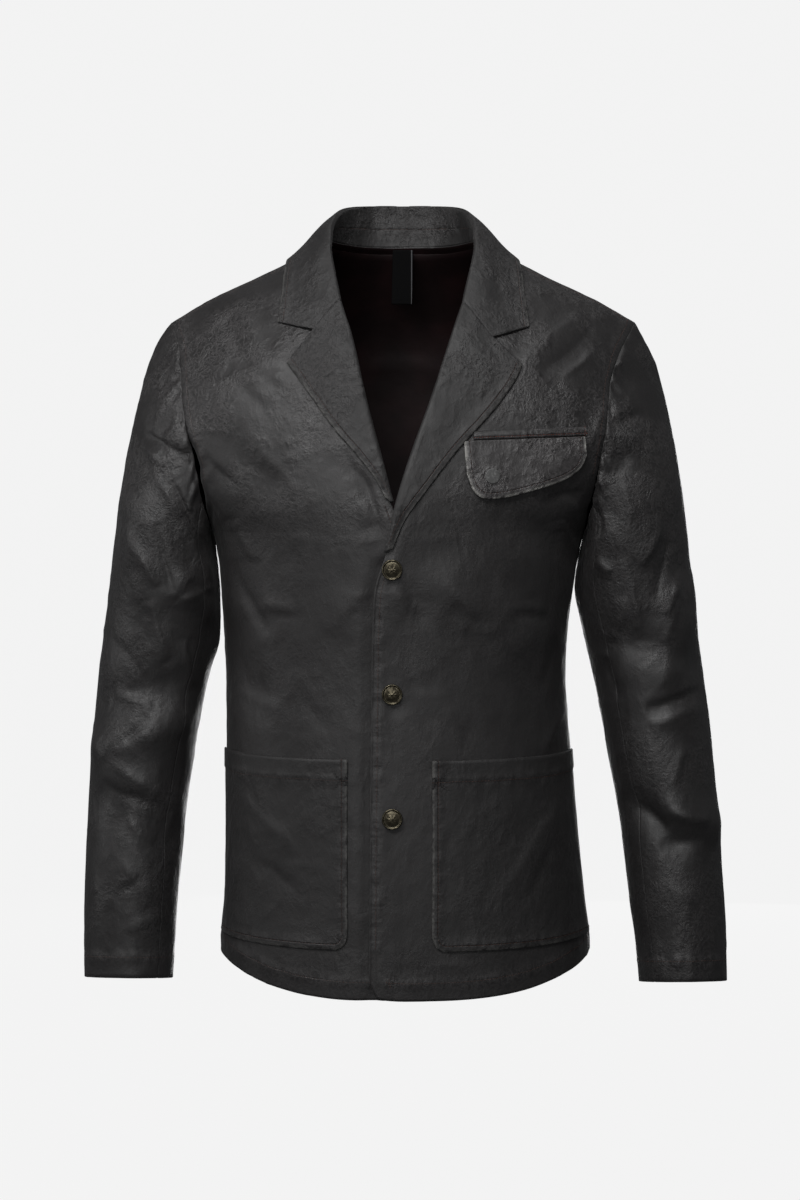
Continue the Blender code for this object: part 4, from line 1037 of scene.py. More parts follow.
# ---------------------------------------------------------------- stitch lines
Run = namedtuple("Run", "points inward")
EDGE_INSET = 5.0  # of the stitch lines along worn edges
FAR = 30.0  # beyond this distance a point has no stitch line
RUN_STEP = 0.5  # between the points of a stitch line
RUN_GAP = 40.0  # between two lines' counts of length, so that their puckers differ


def even(points, step):
    """The same line with points at even distances."""
    lengths = np.linalg.norm(np.diff(points, axis=0), axis=1)
    along = np.concatenate([[0], np.cumsum(lengths)])
    places = np.linspace(0, along[-1], max(int(along[-1] / step), 2))
    return np.stack([np.interp(places, along, column) for column in points.T], axis=1)


def run_inside(grid, border, inset, first=0.0, last=1.0, worn=0.0):
    """A line at an even distance inside a border, between two shares of its length.

    Where the border is worn, 1, the line has an inside, so that the border can be found from it.
    """
    rows = from_border(grid, border)
    edge = even(rows[0], RUN_STEP)
    beside = even(rows[3], RUN_STEP)
    beside = beside[np.linspace(0, len(beside) - 1, len(edge)).astype(int)]
    along = unit(np.gradient(edge, axis=0))
    inward = beside - edge
    inward = unit(inward - along * (inward * along).sum(-1, keepdims=True))
    kept = slice(int(first * len(edge)), int(last * len(edge)))
    return Run((edge + inward * inset)[kept], worn * inward[kept])


def seam_places(grid, runs):
    """For each point of a grid, how far along the nearest stitch line and how far inside it."""
    finder = KDTree(sum(len(run.points) for run in runs))
    along, arrows, places, start = [], [], [], 0.0
    for run in runs:
        for number, (point, inward) in enumerate(zip(run.points, run.inward)):
            finder.insert(point, len(along))
            along.append(start + number * RUN_STEP)
            arrows.append(inward)
            places.append(point)
        start += len(run.points) * RUN_STEP + RUN_GAP
    finder.balance()
    flat = grid.reshape(-1, 3)
    nearest = np.array([finder.find(point)[1:] for point in flat])
    index = nearest[:, 0].astype(int)
    away = flat - np.array(places)[index]
    side = np.where((away * np.array(arrows)[index]).sum(-1) < 0, -1, 1)
    inside = np.minimum(nearest[:, 1], FAR) * side
    return np.stack([np.array(along)[index], inside], axis=-1).reshape(*grid.shape[:2], 2) * MM


def sewn_relief(seams, pucker):
    """The puckers on both sides of a stitch line, in millimetres."""
    along, inside = seams[..., 0] / MM, seams[..., 1] / MM
    waves = lumps(np.stack([along, inside * 0.5, inside * 0], axis=-1), 8.0)
    return pucker * waves * np.exp(-((inside / 6.0) ** 2))


def sew(grid, normals, runs, pucker=0.45):
    """Puckers a piece along its stitch lines, and gives its seam map."""
    seams = seam_places(grid, runs)
    grid += normals * sewn_relief(seams, pucker)[..., None]
    return seams


def snapped(tree, points, lift):
    """A line moved onto a surface, then off it by lift."""
    found = (tree.find_nearest(Vector(point)) for point in points)
    return [hit + normal * lift for hit, normal, _, _ in found]


# ---------------------------------------------------------------- materials
class Wire:
    """A socket's value, which sums take as they would a number."""

    def __init__(self, finish, socket):
        self.finish = finish
        self.socket = socket

    def sum(self, operation, *others):
        return self.finish.put("Math", {"operation": operation}, self, *others)

    def __add__(self, other):
        return self.sum("ADD", other)

    def __sub__(self, other):
        return self.sum("SUBTRACT", other)

    def __rsub__(self, other):
        return self.finish.put("Math", {"operation": "SUBTRACT"}, other, self)

    def __mul__(self, other):
        return self.sum("MULTIPLY", other)

    def __truediv__(self, other):
        return self.sum("DIVIDE", other)

    __radd__, __rmul__ = __add__, __mul__

    def size(self):
        return self.sum("ABSOLUTE")

    def clipped(self):
        return self.finish.put("Clamp", {}, self)

    def hill(self, width):
        """1 where the value is 0, falling to 0 at about two widths from it."""
        scaled = self / width
        return self.finish.put("Math", {"operation": "EXPONENT"}, scaled * scaled * -1.0)

    def from_to(self, start, end):
        """0 up to start and 1 from end, and smooth between."""
        soft = {"interpolation_type": "SMOOTHSTEP"}
        return self.finish.put("MapRange", soft, self, start, end, 0.0, 1.0)


class Finish:
    """A material under construction. Its method put adds every node but the colour mixes."""

    def __init__(self, name):
        self.material = bpy.data.materials.new(name)
        self.material.use_nodes = True
        self.tree = self.material.node_tree
        self.shader = self.tree.nodes["Principled BSDF"]
        self.place = self.put("TexCoord", {}, output="Object")

    def put(self, kind, settings, *values, output=0, **named):
        """Adds a node, makes its settings, fills its sockets, and gives one output."""
        node = self.tree.nodes.new("ShaderNode" + kind)
        for setting, value in settings.items():
            setattr(node, setting, value)
        for key, value in [*enumerate(values), *named.items()]:
            socket = node.inputs[key.replace("_", " ") if isinstance(key, str) else key]
            self.fill(socket, value)
        return Wire(self, node.outputs[output])

    def fill(self, socket, value):
        if isinstance(value, Wire):
            self.tree.links.new(value.socket, socket)
        else:
            socket.default_value = value

    def set(self, **sockets):
        """Sets or links the shader's own sockets."""
        for name, value in sockets.items():
            self.fill(self.shader.inputs[name.replace("_", " ")], value)

    def noise(self, scale, detail, roughness, place=None):
        """Soft noise from 0 to 1, with the scale in lumps for each metre."""
        place = place or self.place
        return self.put("TexNoise", {}, Vector=place, Scale=scale, Detail=detail, Roughness=roughness)

    def ridges(self, scale, detail, roughness, place):
        """Sharp ridges that branch, like those of crumpled paper, from about 0.5 to 2."""
        settings = {"noise_type": "RIDGED_MULTIFRACTAL"}
        return self.put("TexNoise", settings, Vector=place, Scale=scale, Detail=detail,
                        Roughness=roughness, Offset=1.0, Gain=2.0)

    def shifted(self, scale, amount):
        """The place moved about by soft noise, so that a pattern on it isn't regular."""
        sway = self.put("TexNoise", {}, Vector=self.place, Scale=scale, Detail=2.0, output="Color")
        middle = self.put("VectorMath", {"operation": "SUBTRACT"}, sway, (0.5, 0.5, 0.5))
        moved = self.put("VectorMath", {"operation": "SCALE"}, middle, Scale=amount)
        return self.put("VectorMath", {"operation": "ADD"}, self.place, moved)

    def blend(self, share, first, second):
        """A colour between two, by a share from 0 to 1."""
        node = self.tree.nodes.new("ShaderNodeMix")
        node.data_type = "RGBA"
        self.fill(node.inputs[0], share)
        for socket, colour in ((node.inputs[6], first), (node.inputs[7], second)):
            self.fill(socket, (*colour, 1.0) if isinstance(colour, tuple) else colour)
        return Wire(self, node.outputs[2])

    def along_seams(self):
        """Distance along the nearest stitch line, and inside it, in metres."""
        places = self.put("UVMap", {"uv_map": "seams"})
        return [self.put("SeparateXYZ", {}, places, output=axis) for axis in "XY"]

    def raise_by(self, height):
        """Bumps of a height in millimetres."""
        self.set(Normal=self.put("Bump", {}, Strength=1.0, Distance=MM, Height=height))


BLACK_COATING = 0.0185, 0.0172, 0.0173
BARE_COTTON = 0.26, 0.255, 0.24  # where the coating has worn off


def tinted(colour, factor):
    return tuple(value * factor for value in colour)


def wear_and_highlight_patches(made, spread):
    """From 0 to 1 where the coating is crinkled and rubbed: in patches, and most high up and on the chest,
    where the lighter colour that it gives is partly a painted highlight.
    """
    aside, up = (made.put("SeparateXYZ", {}, made.place, output=axis) for axis in "XZ")
    chest = (aside.size() - 0.15).hill(0.06) * (up + 0.15).hill(0.08)
    # painted highlight in part: more patches high up and on the chest, where the light falls
    high = up.from_to(-0.34, -0.14)
    reach = high * 0.6 + 0.2 + spread + chest * 0.7
    return (made.noise(12.0, 4.0, 0.62).from_to(0.42, 0.57) * reach + chest * 0.15).clipped()


def coated_cloth(name, crinkle, wear=0.0, dullness=0.54, tone=1.0, spread=0.0):
    """Near-black coated cotton: crinkled in patches, dull, and lighter where it is rubbed, which is partly
    real wear and partly a painted highlight high up and on the chest.

    Spread widens the patches, and wear bares the cotton along the edges beside stitch lines. Tone lightens
    or darkens the whole cloth: painted shade on a darker copy, a painted highlight on a lighter one.
    """
    # tone gives darker and lighter copies of the cloth: painted shade and painted highlight
    colour = tinted(BLACK_COATING, tone)
    made = Finish(name)
    along, inside = made.along_seams()
    swayed = made.shifted(45.0, 0.008)
    leaning = made.put("Mapping", {}, Vector=swayed, Rotation=(0.0, 0.5, 0.0), Scale=(1.0, 1.0, 0.6))
    crumple = made.ridges(32.0, 7.0, 0.52, leaning)
    fibres = made.ridges(230.0, 4.0, 0.62, swayed)
    grain = made.noise(1100.0, 3.0, 0.6)
    patches = wear_and_highlight_patches(made, spread)
    stitch_line, near = inside.hill(0.0005), inside.hill(0.006)
    pucker_place = made.put("CombineXYZ", {}, along * 110.0, inside * 40.0, 0.0)
    puckers = made.noise(1.0, 2.0, 0.5, pucker_place)
    crinkles = crumple * ((patches * 0.32 + 0.24) * crinkle)
    crinkles = crinkles + fibres * (patches * 0.17 * crinkle + 0.022)
    made.raise_by(crinkles + grain * 0.13 + puckers * near * 1.3 - stitch_line * 0.5)
    # lighter colour: rubbed wear beside stitch lines and in the patches, partly a painted highlight high
    # up and on the chest
    rub_and_highlight = fibres.from_to(1.15, 1.8) * (near * 0.4 + patches * 0.8 + 0.06)
    shade = made.noise(9.0, 3.0, 0.55).from_to(0.3, 0.7)
    shown = made.blend(shade, tinted(colour, 0.8), colour)
    shown = made.blend(rub_and_highlight.clipped() * 0.65, shown, tinted(colour, 2.8))
    if wear:
        frayed = made.noise(150.0, 4.0, 0.65).from_to(0.36, 0.56)
        edge = (inside + EDGE_INSET * MM).hill(0.0018) * frayed
        shown = made.blend(edge * wear, shown, BARE_COTTON)
    mottle = made.noise(30.0, 6.0, 0.68).from_to(0.36, 0.64)
    made.set(Base_Color=shown, Roughness=dullness - mottle * 0.10 - patches * 0.06 + grain * 0.06)
    made.set(Specular_IOR_Level=0.5, Sheen_Weight=0.04, Sheen_Roughness=0.4)
    return made.material


def satin_lining():
    made = Finish("maroon_satin")
    bands = {"wave_type": "BANDS", "bands_direction": "Z"}
    weave = made.put("TexWave", bands, Vector=made.place, Scale=900.0, Distortion=2.0, Detail=1.0)
    soft = made.noise(60.0, 3.0, 0.5)
    made.raise_by(weave * 0.02 + soft * 0.5)
    shade = made.noise(22.0, 2.0, 0.5).from_to(0.35, 0.7)
    made.set(Base_Color=made.blend(shade, (0.0050, 0.0018, 0.0020), (0.0105, 0.0036, 0.0040)))
    made.set(Roughness=0.55 + weave * 0.08, Specular_IOR_Level=0.18)
    return made.material


def aged_brass():
    made = Finish("aged_brass")
    spots = made.noise(420.0, 5.0, 0.65)
    dirt = made.noise(190.0, 4.0, 0.7).from_to(0.42, 0.68)
    scratches = made.noise(2600.0, 2.0, 0.6)
    made.raise_by(spots * 0.06 + scratches * 0.015)
    bright = made.blend(spots.from_to(0.35, 0.65), (0.050, 0.044, 0.030), (0.115, 0.101, 0.070))
    made.set(Base_Color=made.blend(dirt * 0.75, bright, (0.018, 0.015, 0.010)))
    made.set(Metallic=0.95, Roughness=0.27 + dirt * 0.26)
    return made.material


def dark_snap():
    made = Finish("dark_snap_metal")
    wear = made.noise(380.0, 4.0, 0.65).from_to(0.45, 0.72)
    made.raise_by(made.noise(900.0, 3.0, 0.6) * 0.03)
    made.set(Base_Color=made.blend(wear, (0.075, 0.075, 0.074), (0.17, 0.17, 0.168)))
    made.set(Metallic=0.3, Roughness=0.55 + wear * 0.12)
    return made.material


def woven_tape():
    made = Finish("black_tape")
    bands = {"bands_direction": "Z"}
    ribs = made.put("TexWave", bands, Vector=made.place, Scale=520.0, Distortion=0.4)
    made.raise_by(ribs * 0.06)
    side = made.put("SeparateXYZ", {}, made.place, output="X")
    edge = (side - 0.0088).hill(0.0005) * 0.5
    made.set(Base_Color=made.blend(edge, (0.0022, 0.0022, 0.0024), (0.20, 0.20, 0.21)))
    made.set(Roughness=0.85 + ribs * 0.1, Specular_IOR_Level=0.1)
    return made.material


def thread(name, dark, light):
    made = Finish(name)
    twist = made.noise(1800.0, 2.0, 0.6)
    made.raise_by(twist * 0.05)
    made.set(Base_Color=made.blend(twist, dark, light), Roughness=0.62 + twist * 0.1)
    return made.material


PAPER_GLOW = 0.892


def studio_paper():
    """Paper that glows evenly and takes almost no light, so that no shadow or step shows on it."""
    made = Finish("pale_paper")
    tone = made.noise(0.8, 2.0, 0.5)
    made.set(Base_Color=made.blend(tone, (0.009,) * 3, (0.011,) * 3), Roughness=1.0)
    glow = (PAPER_GLOW, PAPER_GLOW, PAPER_GLOW, 1.0)
    made.set(Specular_IOR_Level=0.0, Emission_Color=glow, Emission_Strength=1.0)
    return made.material


# ---------------------------------------------------------------- stitches
def stitch_tree():
    """A tree of nodes that sets stitches along lines: pitch, length, thickness and material."""
    tree = bpy.data.node_groups.new("stitch_lines", "GeometryNodeTree")
    face = tree.interface
    face.new_socket("Lines", in_out="INPUT", socket_type="NodeSocketGeometry")
    for name in ("Pitch", "Stitch Length", "Thread"):
        face.new_socket(name, in_out="INPUT", socket_type="NodeSocketFloat")
    face.new_socket("Material", in_out="INPUT", socket_type="NodeSocketMaterial")
    face.new_socket("Stitches", in_out="OUTPUT", socket_type="NodeSocketGeometry")

    def put(kind, settings, links):
        node = tree.nodes.new(kind)
        for setting, value in settings.items():
            setattr(node, setting, value)
        for key, value in links.items():
            if isinstance(value, bpy.types.NodeSocket):
                tree.links.new(value, node.inputs[key])
            else:
                node.inputs[key].default_value = value
        return node

    given = tree.nodes.new("NodeGroupInput").outputs
    links = {"Curve": given["Lines"], "Length": given["Pitch"]}
    dots = put("GeometryNodeCurveToPoints", {"mode": "LENGTH"}, links)
    ball = put("GeometryNodeMeshIcoSphere", {}, {"Radius": 0.5, "Subdivisions": 1})
    links = {"Min": 0.9, "Max": 1.06, "Seed": 4}
    jitter = put("FunctionNodeRandomValue", {"data_type": "FLOAT"}, links)
    links = {0: given["Stitch Length"], 1: jitter.outputs[1]}
    length = put("ShaderNodeMath", {"operation": "MULTIPLY"}, links)
    size = put("ShaderNodeCombineXYZ", {}, {0: given["Thread"], 1: given["Thread"], 2: length.outputs[0]})
    links = {"Points": dots.outputs["Points"], "Instance": ball.outputs["Mesh"],
             "Rotation": dots.outputs["Rotation"], "Scale": size.outputs[0]}
    placed = put("GeometryNodeInstanceOnPoints", {}, links)
    real = put("GeometryNodeRealizeInstances", {}, {"Geometry": placed.outputs[0]})
    links = {"Geometry": real.outputs[0], "Material": given["Material"]}
    finished = put("GeometryNodeSetMaterial", {}, links)
    tree.links.new(finished.outputs[0], tree.nodes.new("NodeGroupOutput").inputs[0])
    return tree


def stitches(name, tree, lines, finish, pitch=3.2, length=2.7, thickness=0.55):
    """Stitches along lines that lie on a piece, as one plain mesh."""
    curve = bpy.data.curves.new(name + "_lines", "CURVE")
    curve.dimensions = "3D"
    for line in lines:
        spline_line = curve.splines.new("POLY")
        spline_line.points.add(len(line) - 1)
        for spot_on, point in zip(spline_line.points, line):
            spot_on.co = (*(point * MM), 1.0)
    guide = added(name + "_lines", curve)
    modifier = guide.modifiers.new("stitches", "NODES")
    modifier.node_group = tree
    values = {"Pitch": pitch * MM, "Stitch Length": length * MM, "Thread": thickness * MM}
    values["Material"] = finish
    for item in tree.interface.items_tree:
        if item.in_out == "INPUT" and item.name in values:
            modifier[item.identifier] = values[item.name]
    graph = bpy.context.evaluated_depsgraph_get()
    mesh = bpy.data.meshes.new_from_object(guide.evaluated_get(graph), depsgraph=graph)
    bpy.data.objects.remove(guide)
    mesh.name = name
    return riding(name, mesh, "coated_cloth")


# ---------------------------------------------------------------- the shell
FORWARD, BACKWARD, LEFTWARD, RIGHTWARD = (0, -1, 0), (0, 1, 0), (1, 0, 0), (-1, 0, 0)
OUTWARD = {  # roughly where the middle of each piece faces
    "front_right": FORWARD, "front_left": FORWARD, "back": BACKWARD,
    "sleeve_top_right": RIGHTWARD, "sleeve_under_right": LEFTWARD,
    "sleeve_top_left": LEFTWARD, "sleeve_under_left": RIGHTWARD,
    "lapel_right": FORWARD, "lapel_left": FORWARD,
    "collar_fall": (0, 1, 1), "collar_stand": FORWARD,
}
DRAWN_IN = {  # borders where a family of pieces is pinched by its seams
    "sleeve": ("bottom",), "front": ("top", "outer"), "back": ("top", "inner", "outer"),
}
VISIBLE_CLOTH = 1.4  # thickness of the shell's sheets, a little less than the solids' walls
SHELL_PUCKER = 0.6  # height of the puckers along the shell's stitch lines
CREASE_DEPTH = {"sleeve": 1.9, "front": 1.7, "back": 1.7}  # factor on the heights of CREASES


def family(name):
    """The family of a piece of the shell: sleeve, front or back."""
    return name.split("_")[0]


def own_and_shared(grids):
    """The normals of each piece, and the same ones made equal where pieces meet at a seam."""
    own = {name: normals_of(grid, OUTWARD[name]) for name, grid in grids.items()}
    shared = {name: grid.copy() for name, grid in own.items()}
    share_normals(grids, shared)
    return own, shared


def inner_side(outer, normals, own, thick):
    """The inside of a cloth, so that two pieces meet along a seam there too."""
    lean = np.maximum((normals * own).sum(-1, keepdims=True), 0.5)
    return outer - normals * thick / lean


TUCK_DEPTH, TUCK_REACH, TUCK_END = 3.2, 7.0, 12  # of the under front beside the upper one's edge
EDGE_RISE, EDGE_COLUMNS = 0.8, 3.0  # of the upper one's edge
TUCK_FADE = 15  # height over which both fade out towards the break of the lapel


def tuck(under, normals, upper):
    """Lets the under front fall away beside the edge of the upper one, which stands up a little."""
    top_z = LAPEL[LEFT][0].roll_z
    past = under[..., 0] - np.interp(under[..., 2], upper[:, 0, 2], upper[:, 0, 0])
    beside = np.where(past < 0, np.exp(-((past / TUCK_REACH) ** 2)), 1.0) * (past < TUCK_END)
    fade = smooth((top_z - under[..., 2]) / TUCK_FADE)
    under -= normals * (TUCK_DEPTH * beside * fade)[..., None]
    lift = np.exp(-((np.arange(upper.shape[1]) / EDGE_COLUMNS) ** 2))
    upper[..., 1] -= EDGE_RISE * (lift * smooth((top_z - upper[:, :1, 2]) / TUCK_FADE))


PUCKER_LENGTH, PUCKER_HEIGHT = 9.0, 2.8  # of the puckers at a sleeve's head
PUCKER_REACH, PUCKER_START, PUCKER_ROWS = 20, 3, 40


def ease_in(grid, normals):
    """Short puckers where a sleeve's head is eased into the armhole."""
    rows, arrows = (from_border(kept, "bottom")[:PUCKER_ROWS] for kept in (grid, normals))
    along = np.append(0, np.cumsum(np.linalg.norm(np.diff(rows[0], axis=0), axis=-1)))
    inside = np.linalg.norm(rows - rows[0], axis=-1)
    places = np.stack([along + inside * 0.4, inside * 0.3, inside * 0], axis=-1)
    waves = lumps(places, PUCKER_LENGTH)
    fade = np.minimum(1, 12 * np.minimum(along, along[-1] - along) / along[-1])
    reach = np.exp(-((inside / PUCKER_REACH) ** 2)) * (1 - np.exp(-((inside / PUCKER_START) ** 2)))
    rows += arrows * (PUCKER_HEIGHT * waves * reach * fade)[..., None]


def smooth_shell():
    """The shell with its soft folds alone, and its normals."""
    points = shell_points()
    normals = shell_normals(points)
    share_normals(points, normals)
    for name, grid in points.items():
        grid += normals[name] * fold_lift(grid, normals[name], FOLDS)[..., None]
    normals = shell_normals(points)
    share_normals(points, normals)
    return points, normals


def worn_shell(points, normals, trees):
    """The shell's pieces with all their folds, and their own and shared normals."""
    for name, grid in points.items():
        open_share = uncovered(grid, trees) if family(name) == "front" else 1.0
        creases = rumple(grid, normals[name], CREASE_DEPTH[family(name)])
        grid += normals[name] * (creases * open_share)[..., None]
        if family(name) == "sleeve":
            ease_in(grid, normals[name])
    tuck(points["front_right"], normals["front_right"], points["front_left"])
    points = split_sleeves(points)
    normals = split_sleeves(normals)
    for name, grid in points.items():
        pinch(grid, normals[name], DRAWN_IN[family(name)])
    return points, *own_and_shared(points)


HEM_LINE, CUFF_LINE, SEAM_LINE, FRONT_EDGE_LINE = 17.0, 20.0, 7.0, 6.0  # insets of stitch lines


def shell_runs(name, grid):
    """The stitch lines of a piece of the shell."""
    if family(name) == "sleeve":
        return [run_inside(grid, "top", CUFF_LINE)]
    runs = [run_inside(grid, "bottom", HEM_LINE, 0.03, 0.98)]
    if name == "back":
        borders = [("inner", 0.66, 0.99), ("outer", 0.66, 0.99)]
    else:
        borders = [("outer", 0.74, 0.99), ("top", 0.03, 0.96)]
        side = LEFT if name.endswith("left") else RIGHT
        break_row = where([line[0][2] for line in grid], LAPEL[side][0].roll_z)
        last = break_row / len(grid) * 0.985
        runs.append(run_inside(grid, "inner", FRONT_EDGE_LINE, 0.035, last))
    return runs + [run_inside(grid, border, SEAM_LINE, first, last) for border, first, last in borders]


# ---------------------------------------------------------------- pieces on the shell
def sampled(grid, rows, columns):
    """Points of a fine grid between its rows and columns."""
    j = np.clip(np.floor(rows).astype(int), 0, grid.shape[0] - 2)
    i = np.clip(np.floor(columns).astype(int), 0, grid.shape[1] - 2)
    v, u = (rows - j)[..., None], (columns - i)[..., None]
    low = grid[j, i] * (1 - u) + grid[j, i + 1] * u
    high = grid[j + 1, i] * (1 - u) + grid[j + 1, i + 1] * u
    return low * (1 - v) + high * v


POCKET_CELLS = 74, 78  # rows and columns
POCKET_FADE = 60.0  # height over which the rounded corner fades out


def row_at(height):
    """The fine row of a front at a height, below the underarm."""
    return np.interp(height, LOW_ROWS, np.arange(len(LOW_ROWS))) * FINE


def pocket_points(side, front, normals):
    """Inside and outside of a patch pocket, laid on the worn front."""
    pocket = POCKET[side]
    places, inner, outer = np.arange(front.shape[1]), [], []
    for height in np.linspace(pocket.bottom, pocket.top, POCKET_CELLS[0]):
        row = row_at(height)
        reach_in = side * sampled(front, np.full(len(places), row), places * 1.0)[:, 0]
        across = np.linspace(0, 1, POCKET_CELLS[1]) ** 1.05
        targets = mix(pocket.inner, reach_in[-1] - POCKET_SIDE_GAP, across)
        reach = np.clip(1 - (targets - pocket.inner) / POCKET_CORNER, 0, 1)
        fade = ease(1 - (height - pocket.bottom) / POCKET_FADE)
        corner = POCKET_CORNER * (1 - np.sqrt(1 - reach**2)) * fade
        rows = row_at(height + corner)
        columns = np.interp(targets, reach_in, places)
        base, normal = sampled(front, rows, columns), unit(sampled(normals, rows, columns))
        band = smooth((height - (pocket.top - POCKET_BAND)) / 1.5)
        inner.append(base + normal * LAID_GAP)
        outer.append(base + normal * (LAID_GAP + CLOTH + BAND_EXTRA * band))
    return np.array(inner), np.array(outer)


def on_surface(tree, x, z, lift):
    """Places of a piece seen from the front, laid on a surface and moved out by lift."""
    points = np.empty((*x.shape, 3))
    for place in np.ndindex(x.shape):
        points[place] = laid(tree, x[place], z[place], lift[place])[0]
    return points


FLAP_SHARES = (0.0, 0.12, 0.4, 0.7, 1.0)  # rows from the flap's top to its foot
FLAP_FINE = 11, 9  # fine steps to each of its rows and columns
WELT_CELLS = 13, 90
WELT_BULGE = 0.8


def flap_points(tree):
    """Inside and outside of the chest flap, laid on the left front and standing off at its foot."""
    coarse = []
    for share in FLAP_SHARES:
        line = []
        for cut in FLAP:
            x = mix(cut.top_x, cut.foot_x, share)
            z = mix(line_height(FLAP_TOP, cut.top_x), cut.foot_z, share)
            line.append((x, z, mix(LAID_GAP, FLAP_STANDS_OFF, ease(share))))
        coarse.append(line)
    x, z, lift = np.moveaxis(refined(np.array(coarse), *FLAP_FINE), -1, 0)
    return on_surface(tree, x, z, lift), on_surface(tree, x, z, lift + FOLDED)


def welt_points(tree):
    """Inside and outside of the chest pocket's welt, a little bulged."""
    share, along = np.meshgrid(*(np.linspace(0, 1, count) for count in WELT_CELLS), indexing="ij")
    x = mix(WELT_TOP.x0, WELT_TOP.x1, along)
    z = mix(WELT_TOP.z0, WELT_TOP.z1, along) - WELT_DEPTH * (1 - share)
    bulge = CLOTH + WELT_BULGE * np.sin(np.pi * share)
    floor = np.full(x.shape, LAID_GAP)
    return on_surface(tree, x, z, floor), on_surface(tree, x, z, floor + bulge)


def turned(name, centre, normal, profile, finish, slot, relief=None, sides=72):
    """A turned piece: rings of radius and height, with a relief that goes round it."""
    across = normal.orthogonal().normalized()
    beside = normal.cross(across)
    angles = np.arange(sides) * math.tau / sides
    spokes = np.outer(np.cos(angles), across) + np.outer(np.sin(angles), beside)
    rings = []
    for number, (radius, height) in enumerate(profile):
        heights = np.full(sides, float(height))
        if relief and number > len(profile) // 3:
            heights += relief(radius, angles)
        rings.append(np.array(centre) + spokes * radius + np.outer(heights, normal))
    points = np.concatenate(rings)
    last_ring = list(range(len(points) - sides, len(points)))
    faces = [*ring_faces(len(profile), sides), last_ring]
    return riding(name, smooth_mesh(name, points * MM, faces, [finish]), slot)


BUTTON_RINGS = (
    (3.0, 0.0), (3.0, 1.4), (8.2, 1.7), (9.5, 2.2), (9.95, 2.8), (9.95, 3.3), (9.6, 3.75), (9.1, 3.85),
    (8.6, 3.7), (8.25, 3.35), (8.0, 3.15), (7.6, 3.15), (7.0, 3.25), (6.2, 3.4), (5.4, 3.55), (4.6, 3.68),
    (3.8, 3.8), (3.0, 3.88), (2.2, 3.95), (1.5, 4.0), (0.8, 4.03), (0.25, 4.04),
)
SNAP_RINGS = (
    (6.6, 0.0), (7.2, 0.2), (7.35, 0.5), (7.2, 0.8), (6.8, 0.95), (6.2, 1.0), (5.4, 1.02), (4.2, 1.05),
    (3.0, 1.08), (1.6, 1.1), (0.4, 1.1),
)


def rosette(radius, angles):
    """A plain flower of eight petals inside a ring of beads."""
    petals = (0.5 + 0.5 * np.cos(8 * angles)) * math.exp(-(((radius - 3.4) / 1.4) ** 2))
    centre = math.exp(-((radius / 1.5) ** 2))
    beads = np.cos(36 * angles) * math.exp(-(((radius - 9.2) / 0.5) ** 2))
    return 0.16 * petals + 0.2 * centre + 0.03 * beads


# ---------------------------------------------------------------- studio
ROOM = (  # radius and height of the paper room's profile, in metres
    (0.01, -1.1), (5.0, -1.1), (6.0, -1.0), (6.8, -0.6), (7.2, 0.2), (7.3, 6.0),
)
ROOM_SIDES = 64

Lamp = namedtuple("Lamp", "name place aim_z size watts")
LAMPS = (  # round lamps in metres, each aimed at a height on the object's axis
    Lamp("key_light", (-0.85, -1.75, 1.3), -0.1, 0.9, 27),
    Lamp("second_light", (0.1, -1.55, 1.45), -0.1, 0.8, 17),
    Lamp("front_light", (-0.2, -2.3, -0.05), -0.3, 0.8, 8),
    Lamp("top_light", (0.15, 0.25, 1.5), -0.1, 0.9, 4),
    Lamp("left_edge_light", (-2.2, -0.5, 0.1), -0.4, 1.0, 8),
    Lamp("right_edge_light", (2.4, 0.2, 0.2), -0.4, 1.2, 1),
    Lamp("back_light", (0.3, 2.6, -0.55), -0.4, 1.6, 30),
)
AIR_COLOUR, AIR_STRENGTH = (0.95, 0.97, 1.0, 1.0), 0.07

LENS, SENSOR = 90.0, 36.0
CAMERA_AIM = Vector((-0.003, 0, -0.3579))  # metres
CAMERA_RISE = math.radians(4.0)
CAMERA_DISTANCE = 3.0


def studio():
    """A pale room that only the camera sees, so that the lamps alone light the cloth."""
    turns = [math.tau * k / ROOM_SIDES for k in range(ROOM_SIDES)]
    points = np.array([
        (radius * math.cos(turn), radius * math.sin(turn), height)
        for radius, height in ROOM for turn in turns
    ])
    mesh = smooth_mesh("paper_room", points, ring_faces(len(ROOM), ROOM_SIDES), [studio_paper()])
    room = added("paper_room", mesh)
    room.visible_diffuse = room.visible_glossy = room.visible_shadow = False
    world = bpy.data.worlds.new("studio_air")
    bpy.context.scene.world = world
    world.use_nodes = True
    background = world.node_tree.nodes["Background"]
    background.inputs["Color"].default_value = AIR_COLOUR
    background.inputs["Strength"].default_value = AIR_STRENGTH
    bpy.context.scene.view_settings.view_transform = "Standard"
    for lamp in LAMPS:
        light = bpy.data.lights.new(lamp.name, "AREA")
        light.shape = "DISK"
        light.size = lamp.size
        light.energy = lamp.watts
        made = added(lamp.name, light)
        made.location = lamp.place
        towards = Vector((0, 0, lamp.aim_z)) - Vector(lamp.place)
        made.rotation_euler = towards.to_track_quat("-Z", "Y").to_euler()


def camera():
    """Stands a little above the object's middle, in front of it, as in the photo."""
    data = bpy.data.cameras.new("camera")
    data.lens = LENS
    data.sensor_width = SENSOR
    made = added("camera", data)
    away = Vector((0, -math.cos(CAMERA_RISE), math.sin(CAMERA_RISE)))
    made.location = CAMERA_AIM + away * CAMERA_DISTANCE
    made.rotation_euler = (-away).to_track_quat("-Z", "Y").to_euler()
    bpy.context.scene.camera = made


# ---------------------------------------------------------------- the whole blazer
Looks = namedtuple("Looks", "plain sleeved edged creased lining brass snap tape brown rust")


